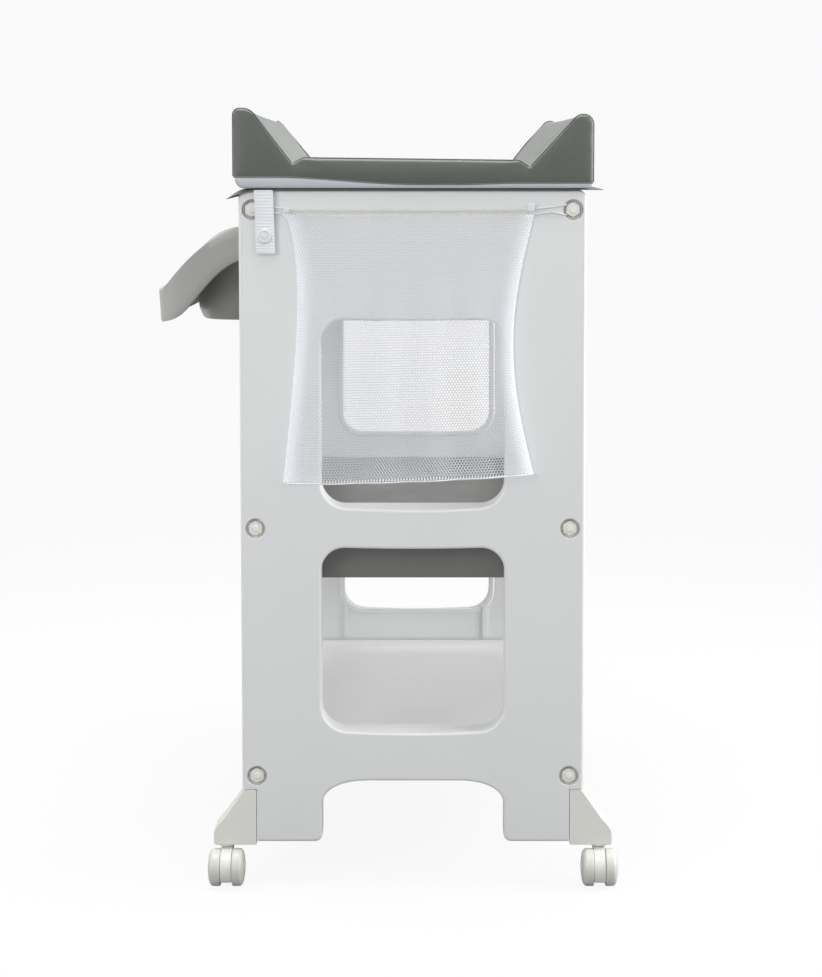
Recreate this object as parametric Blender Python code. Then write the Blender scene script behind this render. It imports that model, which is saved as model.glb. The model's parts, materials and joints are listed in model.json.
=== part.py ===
"""Changing board with bath, in metres and +Z up.

Two end panels on castors carry a bath, a middle shelf and a lower shelf between
them. A padded changing mat lies on top, and a laundry bag hangs on the near panel.
X runs across a panel, Y runs from the near panel to the far one.
"""

import math

import bmesh
import bpy
from mathutils import Vector

# Fits
GAP = 0.0003
OVERRUN = 0.002
BOLT_PLAY = 0.0005
AXLE_PLAY = 0.0003

# End panels
PANEL_SPREAD = 0.780
PANEL_WIDTH = 0.464
PANEL_THICKNESS = 0.030
PANEL_BOTTOM = 0.060
PANEL_TOP = 0.947
PANEL_TOP_RADIUS = 0.011
PANEL_EDGE_ROUND = 0.004
PANEL_BACK_ROUND = 0.0015
ARCH_WIDTH = 0.247
ARCH_TOP = 0.1445
ARCH_RADIUS = 0.038
FOOT_RADIUS = 0.010
WINDOW_WIDTH = 0.2475
WINDOW_RADIUS = 0.048
WINDOW_SAG = 0.0025
WINDOW_BOW = 0.0050
LOWER_WINDOW_BOTTOM = 0.2155
LOWER_WINDOW_TOP = 0.466
UPPER_WINDOW_BOTTOM = 0.522
UPPER_WINDOW_TOP = 0.775
WINDOW_LIP_HEIGHT = 0.003
WINDOW_LIP_WIDTH = 0.008
WINDOW_LIP_DRAFT = 0.002

# Panel bolts
BOLT_MARGIN = 0.020
TOP_BOLT_MARGIN = 0.018
BOTTOM_BOLT_LEVEL = 0.1517
MIDDLE_BOLT_LEVEL = 0.4918
TOP_BOLT_DROP = 0.0259
RECESS_RADIUS = 0.0135
RECESS_DEPTH = 0.008
BOLT_HEAD_FLATS = 0.018
BOLT_HEAD_HEIGHT = 0.006
BOLT_CAP_SHARE = 0.62
BOLT_CAP_TOP_SHARE = 0.50
BOLT_CAP_HEIGHT = 0.0016
BOLT_SHANK_RADIUS = 0.004
BOLT_GRIP = 0.024

# Bracket feet
BRACKET_OVERHANG = 0.0395
BRACKET_NOTCH_WIDTH = 0.024
BRACKET_TOP = 0.1325
BRACKET_BOTTOM = 0.0555
BRACKET_SLOPE_REACH = 0.031
BRACKET_SLOPE_DROP = 0.042
BRACKET_NOSE_RADIUS = 0.024
BRACKET_EDGE_ROUND = 0.003
BRACKET_CORNER = 0.003
TONGUE_WIDTH = 0.056
TONGUE_THICKNESS = 0.0032
TONGUE_MARGIN = 0.006
TONGUE_ROOT = 0.012
SCREW_SHANK_RADIUS = 0.0022
SCREW_HEAD_RADIUS = 0.005
SCREW_HEAD_HEIGHT = 0.003
SCREW_LENGTH = 0.020

# Castors
CASTOR_MARGIN = 0.0175
WHEEL_RADIUS = 0.025
WHEEL_WIDTH = 0.0170
WHEEL_FACE_RADIUS = 0.021
WHEEL_EDGE = 0.0015
WHEEL_DOME = 0.0075
WHEEL_HUB_RADIUS = 0.010
WHEEL_BORE_DEPTH = 0.012
CASTOR_TRAIL = 0.017
HOUSING_WIDTH = 0.0155
HOUSING_EYE_RADIUS = 0.016
HOUSING_TOP = 0.0505
HOUSING_NECK = 0.009
HOUSING_ROUND = 0.002
AXLE_RADIUS = 0.003
AXLE_GRIP = 0.010
STEM_RADIUS = 0.004
STEM_LENGTH = 0.022
STEM_COLLAR_RADIUS = 0.009
STEM_ROOT = 0.006

# Shelves
SHELF_STANDOFF = 0.004
SHELF_SKIN = 0.003
SHELF_RIB = 0.003
SHELF_ROUND = 0.003
PAD_RADIUS = 0.010
PAD_ROOT = 0.004
BORE_DEPTH = 0.034
MIDDLE_SHELF_MARGIN = 0.006
MIDDLE_SHELF_DROP = 0.0738
MIDDLE_SHELF_DEPTH = 0.060
MIDDLE_RIM_HEIGHT = 0.029
MIDDLE_SHELF_RIB = 0.009
MIDDLE_RIM_WIDTH = 0.030
MIDDLE_RIM_DRAFT = 0.004
MIDDLE_CELLS_ACROSS = 5
LOWER_SHELF_MARGIN = 0.010
LOWER_SHELF_DROP = 0.0107
LOWER_SHELF_DEPTH = 0.012
LOWER_RIM_HEIGHT = 0.009
LOWER_RIM_WIDTH = 0.026
LOWER_LIP_WIDTH = 0.006
LOWER_TRAY_ROUND = 0.007
LOWER_TRAY_CORNER = 0.016
LOWER_BEAM_DROP = 0.023
LOWER_BEAM_WIDTH = 0.040
LOWER_BEAM_ROOF = 0.005
LOWER_CELLS_ACROSS = 4
CELLS_ALONG = 6

# Bath
BATH_FRONT_MARGIN = 0.003
BATH_BACK_MARGIN = 0.012
BATH_END_MARGIN = 0.010
BATH_RIM_DROP = 0.008
BATH_FRONT_STEP = 0.0415
BATH_STEP_START = 0.120
BATH_DIP = 0.066
BATH_DIP_START_SHARE = -0.02
BATH_DIP_END_SHARE = 0.75
BATH_BOW = 0.119
BATH_FLARE = 0.032
BATH_FLARE_DROP = 0.037
BATH_APRON = 0.009
BATH_APRON_DROP = 0.004
LIP_ROLL_SHARES = ((0.50, 0.20, 0.45), (0.85, 0.55, 0.80), (1.00, 1.00, 1.00))
LIP_UNDER_SHARE = 1.3
BATH_SKIRT = 0.048
BATH_SKIRT_SWELL = 0.026
BATH_SHOULDER_SHARE = 0.35
BATH_SHOULDER_WIDTH_SHARE = 0.37
BATH_WALL = 0.0035
BATH_FRONT_DECK = 0.012
BATH_BACK_DECK = 0.018
BATH_END_DECK = 0.038
BATH_DECK_ROUND = 0.004
BATH_OUTER_RADIUS = 0.014
BATH_BASIN_RADIUS = 0.070
BATH_WALL_DRAFT = 0.002
BATH_BACK_SLOPE = 0.028
BATH_END_SLOPE = 0.075
BATH_FOOT_RISE = 0.020
BATH_FOOT_RUN = 0.024
FOOT_BEND_RUN_SHARE = 0.33
FOOT_BEND_RISE_SHARE = 0.25
BATH_FLOOR = 0.750
BATH_FLOOR_RISE = 0.020
DRAIN_RADIUS = 0.020
DRAIN_PLACE = -0.060
DRAIN_DEPTH = 0.008
BLOCK_WIDTH = 0.026
BLOCK_DEPTH = 0.034
BLOCK_RISE = 0.014
BLOCK_HEIGHT = 0.050
PLUG_FLANGE = 0.004
PLUG_FLANGE_HEIGHT = 0.003
PLUG_GRIP_RADIUS = 0.006
PLUG_GRIP_HEIGHT = 0.012
PLUG_DRAFT = 0.0015

# Changing mat
MAT_LEFT = 0.238
MAT_RIGHT = 0.240
MAT_OVERHANG = 0.010
MAT_THICKNESS = 0.027
MAT_LEAN = 0.0035
MAT_CROWN = 0.0015
MAT_VALLEY = 0.0210
LEFT_WEDGE_HEIGHT = 0.097
RIGHT_WEDGE_HEIGHT = 0.089
WEDGE_TOP_WIDTH = 0.025
WEDGE_BASE_WIDTH = 0.082
WEDGE_RIDGE_DROP = 0.006
WEDGE_SHOULDER = 0.0055
WEDGE_CROWN = 0.003
MAT_HEM = 0.002
MAT_END_ROUND = 0.005
MAT_END_SHARE = 0.33
BASE_THICKNESS = 0.0085
BASE_MARGIN = 0.004
BASE_CORNER = 0.020
SHEET_THICKNESS = 0.0016
SHEET_LEFT = 0.247
SHEET_RIGHT = 0.254
SHEET_MARGIN = 0.002
SHEET_DROOP = 0.0125
SHEET_BEND_SHARE = 1.3

# Strap
STRAP_WIDTH = 0.025
STRAP_REACH = 0.1966
STRAP_THICKNESS = 0.0014
STRAP_SLACK = 0.0006
STRAP_PLAY = 0.0006
STRAP_BOTTOM = 0.862
STRAP_RETURN = 0.062
SNAP_RADIUS = 0.0095
SNAP_HEIGHT = 0.003
SNAP_RISE = 0.024
SNAP_ROUND = 0.0012

# Laundry bag
BAG_DROP = 0.0053
BAG_HEIGHT = 0.356
BAG_SKEW = 0.0125
BAG_TOP_LEFT = 0.1736
BAG_TOP_RIGHT = 0.162
BAG_LEFT_WAIST = 0.020
BAG_RIGHT_WAIST = 0.028
BAG_LEFT_WAIST_SHARE = 0.60
BAG_TOP_DEPTH = 0.016
BAG_BELLY_DEPTH = 0.034
BAG_BELLY_SHARE = 0.62
BAG_FRONT_SHARE = 0.40
BAG_FOLD_SHARE = 0.33
BAG_CLOTH = 0.0012
BAG_FOLD = 0.003
BAG_FOLDS = 5
BAG_CORNER = 0.0035
BAG_LEVEL_SHARES = (0.0, 0.15, 0.3, 0.45, 0.6, 0.8, 1.0)
CASING_HEIGHT = 0.009
CASING_DEPTH = 0.0052
CASING_CLOTH = 0.0009
CORD_RADIUS = 0.0011
CORD_LOOP_RADIUS = 0.01195
CORD_LOOP_DEPTH = 0.0030
CORD_LEAD = 0.018
CORD_END_DROP = 0.0045
CORD_RISE_SHARE = 0.9
CORD_LEAD_SHARE = 0.5
CORD_HOOK_TURN = math.radians(290)

# Smoothness, in steps
CORNER_STEPS = 3
WINDOW_STEPS = 5
BOLT_STEPS = 12
WHEEL_STEPS = 16
BORE_STEPS = 12
RECESS_STEPS = 16
SCREW_STEPS = 8
HOOK_STEPS = 10
BATH_STEPS = 5
BATH_FRONT_STEPS = 16
MAT_STEPS = 18
SHEET_STEPS = 6
BAG_STEPS = 12
MITRE_LIMIT = 0.2

# Sizes that follow from the others
PANEL_FACE = PANEL_SPREAD / 2
PANEL_INNER_FACE = PANEL_FACE - PANEL_THICKNESS
TOP_BOLT_LEVEL = PANEL_TOP - TOP_BOLT_DROP
BORE_RADIUS = BOLT_SHANK_RADIUS + BOLT_PLAY
BOLT_REACH = PANEL_WIDTH / 2 - BOLT_MARGIN
TOP_BOLT_REACH = PANEL_WIDTH / 2 - TOP_BOLT_MARGIN
BRACKET_REACH = PANEL_WIDTH / 2 + BRACKET_OVERHANG
CASTOR_REACH = BRACKET_REACH - CASTOR_MARGIN
MIDDLE_SHELF_WIDTH = PANEL_WIDTH - 2 * MIDDLE_SHELF_MARGIN
MIDDLE_SHELF_BOTTOM = MIDDLE_BOLT_LEVEL - MIDDLE_SHELF_DROP
MIDDLE_SHELF_FLOOR = MIDDLE_SHELF_BOTTOM + MIDDLE_SHELF_DEPTH
MIDDLE_SHELF_RIM = MIDDLE_SHELF_FLOOR + MIDDLE_RIM_HEIGHT
LOWER_SHELF_WIDTH = PANEL_WIDTH - 2 * LOWER_SHELF_MARGIN
LOWER_SHELF_BOTTOM = BOTTOM_BOLT_LEVEL - LOWER_SHELF_DROP
LOWER_SHELF_FLOOR = LOWER_SHELF_BOTTOM + LOWER_SHELF_DEPTH
LOWER_SHELF_RIM = LOWER_SHELF_FLOOR + LOWER_RIM_HEIGHT
LOWER_BEAM_BOTTOM = LOWER_SHELF_BOTTOM - LOWER_BEAM_DROP
LOWER_BEAM_CEILING = LOWER_SHELF_BOTTOM - LOWER_BEAM_ROOF
BATH_HALF_LENGTH = PANEL_INNER_FACE - BATH_END_MARGIN
BATH_FRONT = PANEL_WIDTH / 2 - BATH_FRONT_MARGIN
BATH_BACK = PANEL_WIDTH / 2 - BATH_BACK_MARGIN
BRACKET_THICKNESS = PANEL_THICKNESS + SHELF_STANDOFF - GAP
BATH_RIM = PANEL_TOP - BATH_RIM_DROP
MAT_LENGTH = PANEL_SPREAD + 2 * MAT_OVERHANG
SHEET_LENGTH = MAT_LENGTH - 2 * SHEET_MARGIN
SHEET_BOTTOM = PANEL_TOP + GAP
BASE_BOTTOM = SHEET_BOTTOM + SHEET_THICKNESS + GAP
MAT_BOTTOM = BASE_BOTTOM + BASE_THICKNESS + GAP
BAG_TOP = TOP_BOLT_LEVEL - BAG_DROP
CORD_RUN = GAP + CASING_DEPTH / 2
STRAP_STANDOFF = CORD_RUN + CORD_RADIUS + STRAP_PLAY


# Tools for outlines and solids


def smooth(share):
    """Slope-free blend from 0 to 1."""
    share = min(max(share, 0.0), 1.0)
    return share * share * (3 - 2 * share)


def circle(radius, steps, centre=(0.0, 0.0)):
    """Points of a circle, anticlockwise."""
    turns = [2 * math.pi * i / steps for i in range(steps)]
    return [Vector((centre[0] + radius * math.cos(a), centre[1] + radius * math.sin(a))) for a in turns]


def rounded(corners, steps=CORNER_STEPS):
    """Outline through corners of (x, y, radius), with an arc at each."""
    points = []
    for i, (x, y, radius) in enumerate(corners):
        here = Vector((x, y))
        came = (here - Vector(corners[i - 1][:2])).normalized()
        goes = (Vector(corners[(i + 1) % len(corners)][:2]) - here).normalized()
        turn = math.atan2(came.cross(goes), came.dot(goes))
        if radius == 0:
            points.append(here)
            continue
        start = here - came * radius * math.tan(abs(turn) / 2)
        left = Vector((-came.y, came.x)) * math.copysign(radius, turn)
        centre = start + left
        for step in range(steps + 1):
            angle = turn * step / steps
            spoke = -left
            points.append(centre + Vector((
                spoke.x * math.cos(angle) - spoke.y * math.sin(angle),
                spoke.x * math.sin(angle) + spoke.y * math.cos(angle))))
    return points


def rectangle(left, right, bottom, top, radius, steps=CORNER_STEPS):
    """Rounded rectangle, anticlockwise."""
    return rounded([(left, bottom, radius), (right, bottom, radius),
                    (right, top, radius), (left, top, radius)], steps)


def inset(outline, distance):
    """The outline moved to its left, which is into a solid that it runs round."""
    if distance == 0:
        return list(outline)
    moved = []
    for i, here in enumerate(outline):
        came = (here - outline[i - 1]).normalized()
        goes = (outline[(i + 1) % len(outline)] - here).normalized()
        side = Vector((-came.y - goes.y, came.x + goes.x)).normalized()
        lean = max(side.dot(Vector((-goes.y, goes.x))), MITRE_LIMIT)
        moved.append(here + side * distance / lean)
    return moved


def rounding(radius, height=0.0, steps=2):
    """Edge profile from an upper face down into a side, as (inset, height)."""
    angles = [math.pi / 2 * i / steps for i in range(steps + 1)]
    return [(radius * (1 - math.sin(a)), height - radius * (1 - math.cos(a))) for a in angles]


def under_rounding(radius, height, steps=2):
    """Edge profile from a side round into a lower face, as (inset, height)."""
    angles = [math.pi / 2 * i / steps for i in range(steps + 1)]
    return [(radius * (1 - math.cos(a)), height + radius * (1 - math.sin(a))) for a in angles]


def add_ring(bm, points):
    return [bm.verts.new(point) for point in points]


def skin(bm, first, second):
    """Faces between two rings with as many points."""
    for i in range(len(first)):
        j = (i + 1) % len(first)
        bm.faces.new((first[i], first[j], second[j], second[i]))


def loft(bm, rings, closed=False):
    """Skin over rings of 3D points, capped at both ends or closed on itself."""
    rings = [add_ring(bm, ring) for ring in rings]
    for first, second in zip(rings, rings[1:]):
        skin(bm, first, second)
    if closed:
        skin(bm, rings[-1], rings[0])
    else:
        bm.faces.new(rings[0])
        bm.faces.new(rings[-1])


def fill(bm, rings):
    """Flat face with holes, bounded by the given rings."""
    edges = []
    for ring in rings:
        for i in range(len(ring)):
            edges.append(bm.edges.get((ring[i], ring[(i + 1) % len(ring)])))
    bmesh.ops.triangle_fill(bm, use_beauty=True, edges=edges)


def edge(outline, profile):
    """Edge of a plate that follows a profile of (inset, height), as (outline, height)."""
    return [(inset(outline, step), height) for step, height in profile]


def plate(bm, edges, pockets=()):
    """Plate in XY between its edges, each a list of (outline, height), upper face first.

    An outline runs with the material on its left, so a hole runs clockwise. A
    pocket starts on the lower face.
    """
    upper = []
    lower = []
    for loops in edges:
        rings = [add_ring(bm, [(p.x, p.y, height) for p in outline]) for outline, height in loops]
        for first, second in zip(rings, rings[1:]):
            skin(bm, first, second)
        upper.append(rings[0])
        lower.append(rings[-1])
    for outline, height, depth in pockets:
        mouth = add_ring(bm, [(p.x, p.y, height) for p in outline])
        end = add_ring(bm, [(p.x, p.y, height + depth) for p in outline])
        skin(bm, mouth, end)
        bm.faces.new(end)
        lower.append(mouth)
    fill(bm, upper)
    fill(bm, lower)


def turned(bm, profile, steps):
    """Solid turned about Z from a profile of (radius, height) that ends on the axis."""
    loft(bm, [[(p.x, p.y, height) for p in circle(radius, steps)] for radius, height in profile])


def to_mesh(bm, name):
    """Closed mesh with its faces outwards and its round faces smooth."""
    bmesh.ops.recalc_face_normals(bm, faces=bm.faces)
    if bm.calc_volume(signed=True) < 0:
        bmesh.ops.reverse_faces(bm, faces=bm.faces)
    mesh = bpy.data.meshes.new(name)
    bm.to_mesh(mesh)
    bm.free()
    mesh.shade_smooth()
    mesh.set_sharp_from_angle(angle=math.radians(35))
    return mesh


def finish(name, colour, roughness):
    """Plain plastic, cloth or metal finish."""
    material = bpy.data.materials.new(name)
    material.use_nodes = True
    shader = material.node_tree.nodes["Principled BSDF"]
    shader.inputs["Base Color"].default_value = (*colour, 1.0)
    shader.inputs["Roughness"].default_value = roughness
    material.diffuse_color = (*colour, 1.0)
    return material


def add_part(name, mesh, material, parent, place=(0.0, 0.0, 0.0), turn=(0.0, 0.0, 0.0)):
    """One named sub-part, placed under its parent."""
    part = bpy.data.objects.new(name, mesh)
    bpy.context.scene.collection.objects.link(part)
    if not mesh.materials:
        mesh.materials.append(material)
    part.parent = parent
    part.location = place
    part.rotation_euler = turn
    return part


def add_pivot(name, parent, place):
    """Empty on a joint's axis."""
    pivot = bpy.data.objects.new(name, None)
    bpy.context.scene.collection.objects.link(pivot)
    pivot.empty_display_size = WHEEL_RADIUS
    pivot.parent = parent
    pivot.location = place
    return pivot


def combine(mesh, tools, operation):
    """Cut or join a mesh with closed tool solids, and return the result."""
    scene = bpy.context.scene
    body = bpy.data.objects.new("body", mesh)
    scene.collection.objects.link(body)
    helpers = []
    for tool in tools:
        helper = bpy.data.objects.new("tool", tool)
        scene.collection.objects.link(helper)
        helpers.append(helper)
        modifier = body.modifiers.new(operation, "BOOLEAN")
        modifier.object = helper
        modifier.operation = operation
        modifier.solver = "EXACT"
    graph = bpy.context.evaluated_depsgraph_get()
    result = bpy.data.meshes.new_from_object(body.evaluated_get(graph))
    for item in [body, *helpers]:
        bpy.data.objects.remove(item, do_unlink=True)
    result.name = mesh.name
    bm = bmesh.new()
    bm.from_mesh(result)
    bmesh.ops.remove_doubles(bm, verts=bm.verts, dist=GAP / 10)
    bmesh.ops.dissolve_degenerate(bm, edges=bm.edges, dist=GAP / 10)
    return to_mesh(bm, mesh.name)


def along_y(outline, start, end):
    """Rings of an XZ outline at two places along Y."""
    return [[(p.x, y, p.y) for p in outline] for y in (start, end)]


def prism(name, outline, start, end):
    """Solid of one XZ outline from start to end along Y."""
    bm = bmesh.new()
    loft(bm, along_y(outline, start, end))
    return to_mesh(bm, name)


# Finishes


def make_finishes():
    return {
        "panel": finish("white_panel_plastic", (0.62, 0.64, 0.65), 0.42),
        "shelf": finish("white_shelf_plastic", (0.66, 0.65, 0.62), 0.45),
        "grey": finish("grey_plastic", (0.26, 0.27, 0.26), 0.38),
        "bolt": finish("bolt_nylon", (0.60, 0.60, 0.56), 0.45),
        "castor": finish("castor_nylon", (0.58, 0.59, 0.56), 0.40),
        "steel": finish("axle_steel", (0.50, 0.50, 0.50), 0.30),
        "mat": finish("mat_vinyl", (0.14, 0.15, 0.14), 0.45),
        "base": finish("mat_base_vinyl", (0.50, 0.52, 0.56), 0.55),
        "sheet": finish("mat_sheet", (0.16, 0.17, 0.16), 0.60),
        "webbing": finish("white_webbing", (0.74, 0.76, 0.80), 0.85),
        "mesh": finish("white_mesh_cloth", (0.76, 0.78, 0.83), 0.85),
    }


# End panels


def bolt_places():
    """Name, reach and level of each pair of bolts in a panel."""
    return [("bottom", BOLT_REACH, BOTTOM_BOLT_LEVEL), ("middle", BOLT_REACH, MIDDLE_BOLT_LEVEL),
            ("top", TOP_BOLT_REACH, TOP_BOLT_LEVEL)]


def window_outline(bottom, top, bow_down, sag):
    """Window, clockwise, with its lower edge bowed down and its upper edge sagging."""
    half = WINDOW_WIDTH / 2
    quarter = (half - WINDOW_RADIUS) / 2
    outline = rounded([
        (-half, bottom, WINDOW_RADIUS), (-quarter, bottom, 0), (quarter, bottom, 0), (half, bottom, WINDOW_RADIUS),
        (half, top, WINDOW_RADIUS), (quarter, top, 0), (-quarter, top, 0), (-half, top, WINDOW_RADIUS),
    ], WINDOW_STEPS)
    middle = (bottom + top) / 2
    for point in outline:
        bow = max(1 - (point.x / half) ** 2, 0.0)
        point.y -= bow * (bow_down if point.y < middle else sag)
    return list(reversed(outline))


def panel_outline():
    """Outer contour of an end panel, anticlockwise, with its arch and its two notches."""
    half = PANEL_WIDTH / 2
    arch = ARCH_WIDTH / 2
    notch = half - BRACKET_NOTCH_WIDTH - GAP
    notch_top = BRACKET_TOP + GAP
    return rounded([
        (arch, PANEL_BOTTOM, FOOT_RADIUS),
        (notch, PANEL_BOTTOM, BRACKET_CORNER),
        (notch, notch_top, 0),
        (half, notch_top, BRACKET_CORNER),
        (half, PANEL_TOP, PANEL_TOP_RADIUS),
        (-half, PANEL_TOP, PANEL_TOP_RADIUS),
        (-half, notch_top, BRACKET_CORNER),
        (-notch, notch_top, 0),
        (-notch, PANEL_BOTTOM, BRACKET_CORNER),
        (-arch, PANEL_BOTTOM, FOOT_RADIUS),
        (-arch, ARCH_TOP, ARCH_RADIUS),
        (arch, ARCH_TOP, ARCH_RADIUS),
    ])


def tongue_screw_place():
    """Where a bracket's screw stands, as its reach, its height and its head's seat along Y."""
    notch = PANEL_WIDTH / 2 - BRACKET_NOTCH_WIDTH
    seat = PANEL_INNER_FACE - GAP - TONGUE_THICKNESS - GAP
    return notch - TONGUE_WIDTH / 2, (LOWER_BEAM_BOTTOM + PANEL_BOTTOM) / 2, seat


def make_panel_mesh():
    """End panel with its outer face at Z = 0 and its inner face below.

    A window's edge bows at the outer face and is straight at the inner one.
    """
    back = under_rounding(PANEL_BACK_ROUND, -PANEL_THICKNESS, 1)
    edges = [edge(panel_outline(), rounding(PANEL_EDGE_ROUND) + back)]
    lip_face = -PANEL_THICKNESS - WINDOW_LIP_HEIGHT
    lip = under_rounding(PANEL_BACK_ROUND, lip_face, 1)
    lip += [(WINDOW_LIP_WIDTH, lip_face), (WINDOW_LIP_WIDTH + WINDOW_LIP_DRAFT, -PANEL_THICKNESS)]
    for span in ((LOWER_WINDOW_BOTTOM, LOWER_WINDOW_TOP), (UPPER_WINDOW_BOTTOM, UPPER_WINDOW_TOP)):
        outer = window_outline(*span, WINDOW_BOW, WINDOW_SAG)
        inner = window_outline(*span, 0.0, 0.0)
        edges.append(edge(outer, rounding(PANEL_EDGE_ROUND)) + edge(inner, lip))
    recess_step = BORE_RADIUS - RECESS_RADIUS
    bolt_seat = [(0, 0), (0, -RECESS_DEPTH), (recess_step, -RECESS_DEPTH), (recess_step, -PANEL_THICKNESS)]
    for _, reach, level in bolt_places():
        for side in (-1, 1):
            hole = circle(RECESS_RADIUS, RECESS_STEPS, (side * reach, level))
            edges.append(edge(list(reversed(hole)), bolt_seat))
    reach, height, seat = tongue_screw_place()
    pilot = SCREW_SHANK_RADIUS + BOLT_PLAY
    depth = seat + SCREW_LENGTH + BOLT_PLAY - PANEL_INNER_FACE
    pockets = [(circle(pilot, BORE_STEPS, (side * reach, height)), -PANEL_THICKNESS, depth) for side in (-1, 1)]
    bm = bmesh.new()
    plate(bm, edges, pockets)
    return to_mesh(bm, "end_panel")


def make_bolt_mesh():
    """Hexagon-headed panel bolt along Z, its head's seat at Z = 0."""
    corner = BOLT_HEAD_FLATS / math.sqrt(3)
    flat_middle = BOLT_HEAD_FLATS / 2
    hexagon = []
    for i in range(BOLT_STEPS):
        radius = corner if i % 2 == 0 else flat_middle
        angle = 2 * math.pi * i / BOLT_STEPS
        hexagon.append(Vector((radius * math.cos(angle), radius * math.sin(angle))))
    shank = circle(BOLT_SHANK_RADIUS, BOLT_STEPS)
    reach = PANEL_THICKNESS - RECESS_DEPTH + BOLT_GRIP
    rings = [
        (shank, -reach),
        (shank, 0.0),
        (hexagon, 0.0),
        (hexagon, BOLT_HEAD_HEIGHT),
        ([point * BOLT_CAP_SHARE for point in hexagon], BOLT_HEAD_HEIGHT),
        ([point * BOLT_CAP_TOP_SHARE for point in hexagon], BOLT_HEAD_HEIGHT + BOLT_CAP_HEIGHT),
    ]
    bm = bmesh.new()
    loft(bm, [[(p.x, p.y, z) for p in outline] for outline, z in rings])
    return to_mesh(bm, "panel_bolt")


def add_panels(unit, finishes):
    """Both panels and their bolts, which run into the bath and the shelves."""
    panel_mesh = make_panel_mesh()
    bolt_mesh = make_bolt_mesh()
    for end, side in (("near", -1), ("far", 1)):
        turn = (math.pi / 2, 0.0, 0.0 if side < 0 else math.pi)
        add_part(end + "_end_panel", panel_mesh, finishes["panel"], unit, (0.0, side * PANEL_FACE, 0.0), turn)
        seat = side * (PANEL_FACE - RECESS_DEPTH + GAP)
        for level, reach, height in bolt_places():
            for hand, across in (("left", -1), ("right", 1)):
                name = f"{end}_{level}_{hand}_bolt"
                add_part(name, bolt_mesh, finishes["bolt"], unit, (across * reach, seat, height), turn)


# Bracket feet


def make_bracket_mesh(side):
    """Bracket foot in the XZ outline of the photo, its outer face at Y = 0, its tongue behind.

    side is -1 where the nose points to -X and 1 where it points to +X.
    """
    inner = PANEL_WIDTH / 2 - BRACKET_NOTCH_WIDTH
    shoulder = PANEL_WIDTH / 2 - BRACKET_CORNER
    slope = shoulder + BRACKET_SLOPE_REACH
    outline = rounded([
        (inner, BRACKET_BOTTOM, BRACKET_CORNER / 2),
        (BRACKET_REACH, BRACKET_BOTTOM, BRACKET_CORNER),
        (BRACKET_REACH, BRACKET_TOP - BRACKET_SLOPE_DROP - BRACKET_NOSE_RADIUS / 2, BRACKET_NOSE_RADIUS),
        (slope, BRACKET_TOP - BRACKET_SLOPE_DROP, BRACKET_NOSE_RADIUS * 2),
        (shoulder, BRACKET_TOP, BRACKET_CORNER / 2),
        (inner, BRACKET_TOP, BRACKET_CORNER / 2),
    ])
    bm = bmesh.new()
    plate(bm, [edge(outline, rounding(BRACKET_EDGE_ROUND) + [(0, -BRACKET_THICKNESS)])])
    body = to_mesh(bm, "bracket")

    reach, height, seat = tongue_screw_place()
    tongue = rectangle(inner - TONGUE_WIDTH, inner + TONGUE_ROOT, PANEL_BOTTOM + TONGUE_MARGIN,
                       LOWER_BEAM_BOTTOM - TONGUE_MARGIN, TONGUE_MARGIN)
    hole = list(reversed(circle(SCREW_SHANK_RADIUS + BOLT_PLAY, BORE_STEPS, (reach, height))))
    front = -PANEL_THICKNESS - GAP
    back = front - TONGUE_THICKNESS
    chamfer = TONGUE_THICKNESS / 4
    bm = bmesh.new()
    plate(bm, [edge(tongue, [(0, front), (0, back + chamfer), (chamfer, back)]), edge(hole, [(0, front), (0, back)])])
    body = combine(body, [to_mesh(bm, "tongue")], "UNION")

    bm = bmesh.new()
    bore_top = HOUSING_TOP + STEM_ROOT + STEM_LENGTH
    bore = circle(STEM_RADIUS + BOLT_PLAY, BORE_STEPS, (CASTOR_REACH, -BRACKET_THICKNESS / 2))
    loft(bm, [[(p.x, z, p.y) for p in bore] for z in (BRACKET_BOTTOM - OVERRUN, bore_top)])
    body = combine(body, [to_mesh(bm, "stem_bore")], "DIFFERENCE")

    bm = bmesh.new()
    bm.from_mesh(body)
    for vert in bm.verts:
        x, up, out = vert.co
        vert.co = (side * x, -out, up)
    return to_mesh(bm, "bracket_left" if side < 0 else "bracket_right")


def make_screw_mesh():
    """Pan-head screw along Z, its head's seat at Z = 0."""
    tip = -SCREW_LENGTH
    crown = SCREW_HEAD_HEIGHT / 3
    bm = bmesh.new()
    turned(bm, [
        (SCREW_SHANK_RADIUS, tip),
        (SCREW_SHANK_RADIUS, 0.0),
        (SCREW_HEAD_RADIUS, 0.0),
        (SCREW_HEAD_RADIUS, crown * 2),
        (SCREW_HEAD_RADIUS - crown * 2, crown * 3),
    ], SCREW_STEPS)
    return to_mesh(bm, "bracket_screw")


def add_brackets(unit, finishes):
    """Four bracket feet with their screws. The far pair is the near pair turned round."""
    meshes = {-1: make_bracket_mesh(-1), 1: make_bracket_mesh(1)}
    screw_mesh = make_screw_mesh()
    reach, height, seat = tongue_screw_place()
    for end, along in (("near", -1), ("far", 1)):
        for hand, across in (("left", -1), ("right", 1)):
            turn = (0.0, 0.0, 0.0 if along < 0 else math.pi)
            mesh = meshes[across if along < 0 else -across]
            add_part(f"{end}_{hand}_bracket", mesh, finishes["castor"], unit, (0.0, along * PANEL_FACE, 0.0), turn)
            place = (across * reach, along * seat, height)
            screw_turn = (along * math.pi / 2, 0.0, 0.0)
            add_part(f"{end}_{hand}_bracket_screw", screw_mesh, finishes["steel"], unit, place, screw_turn)


# Castors


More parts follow.
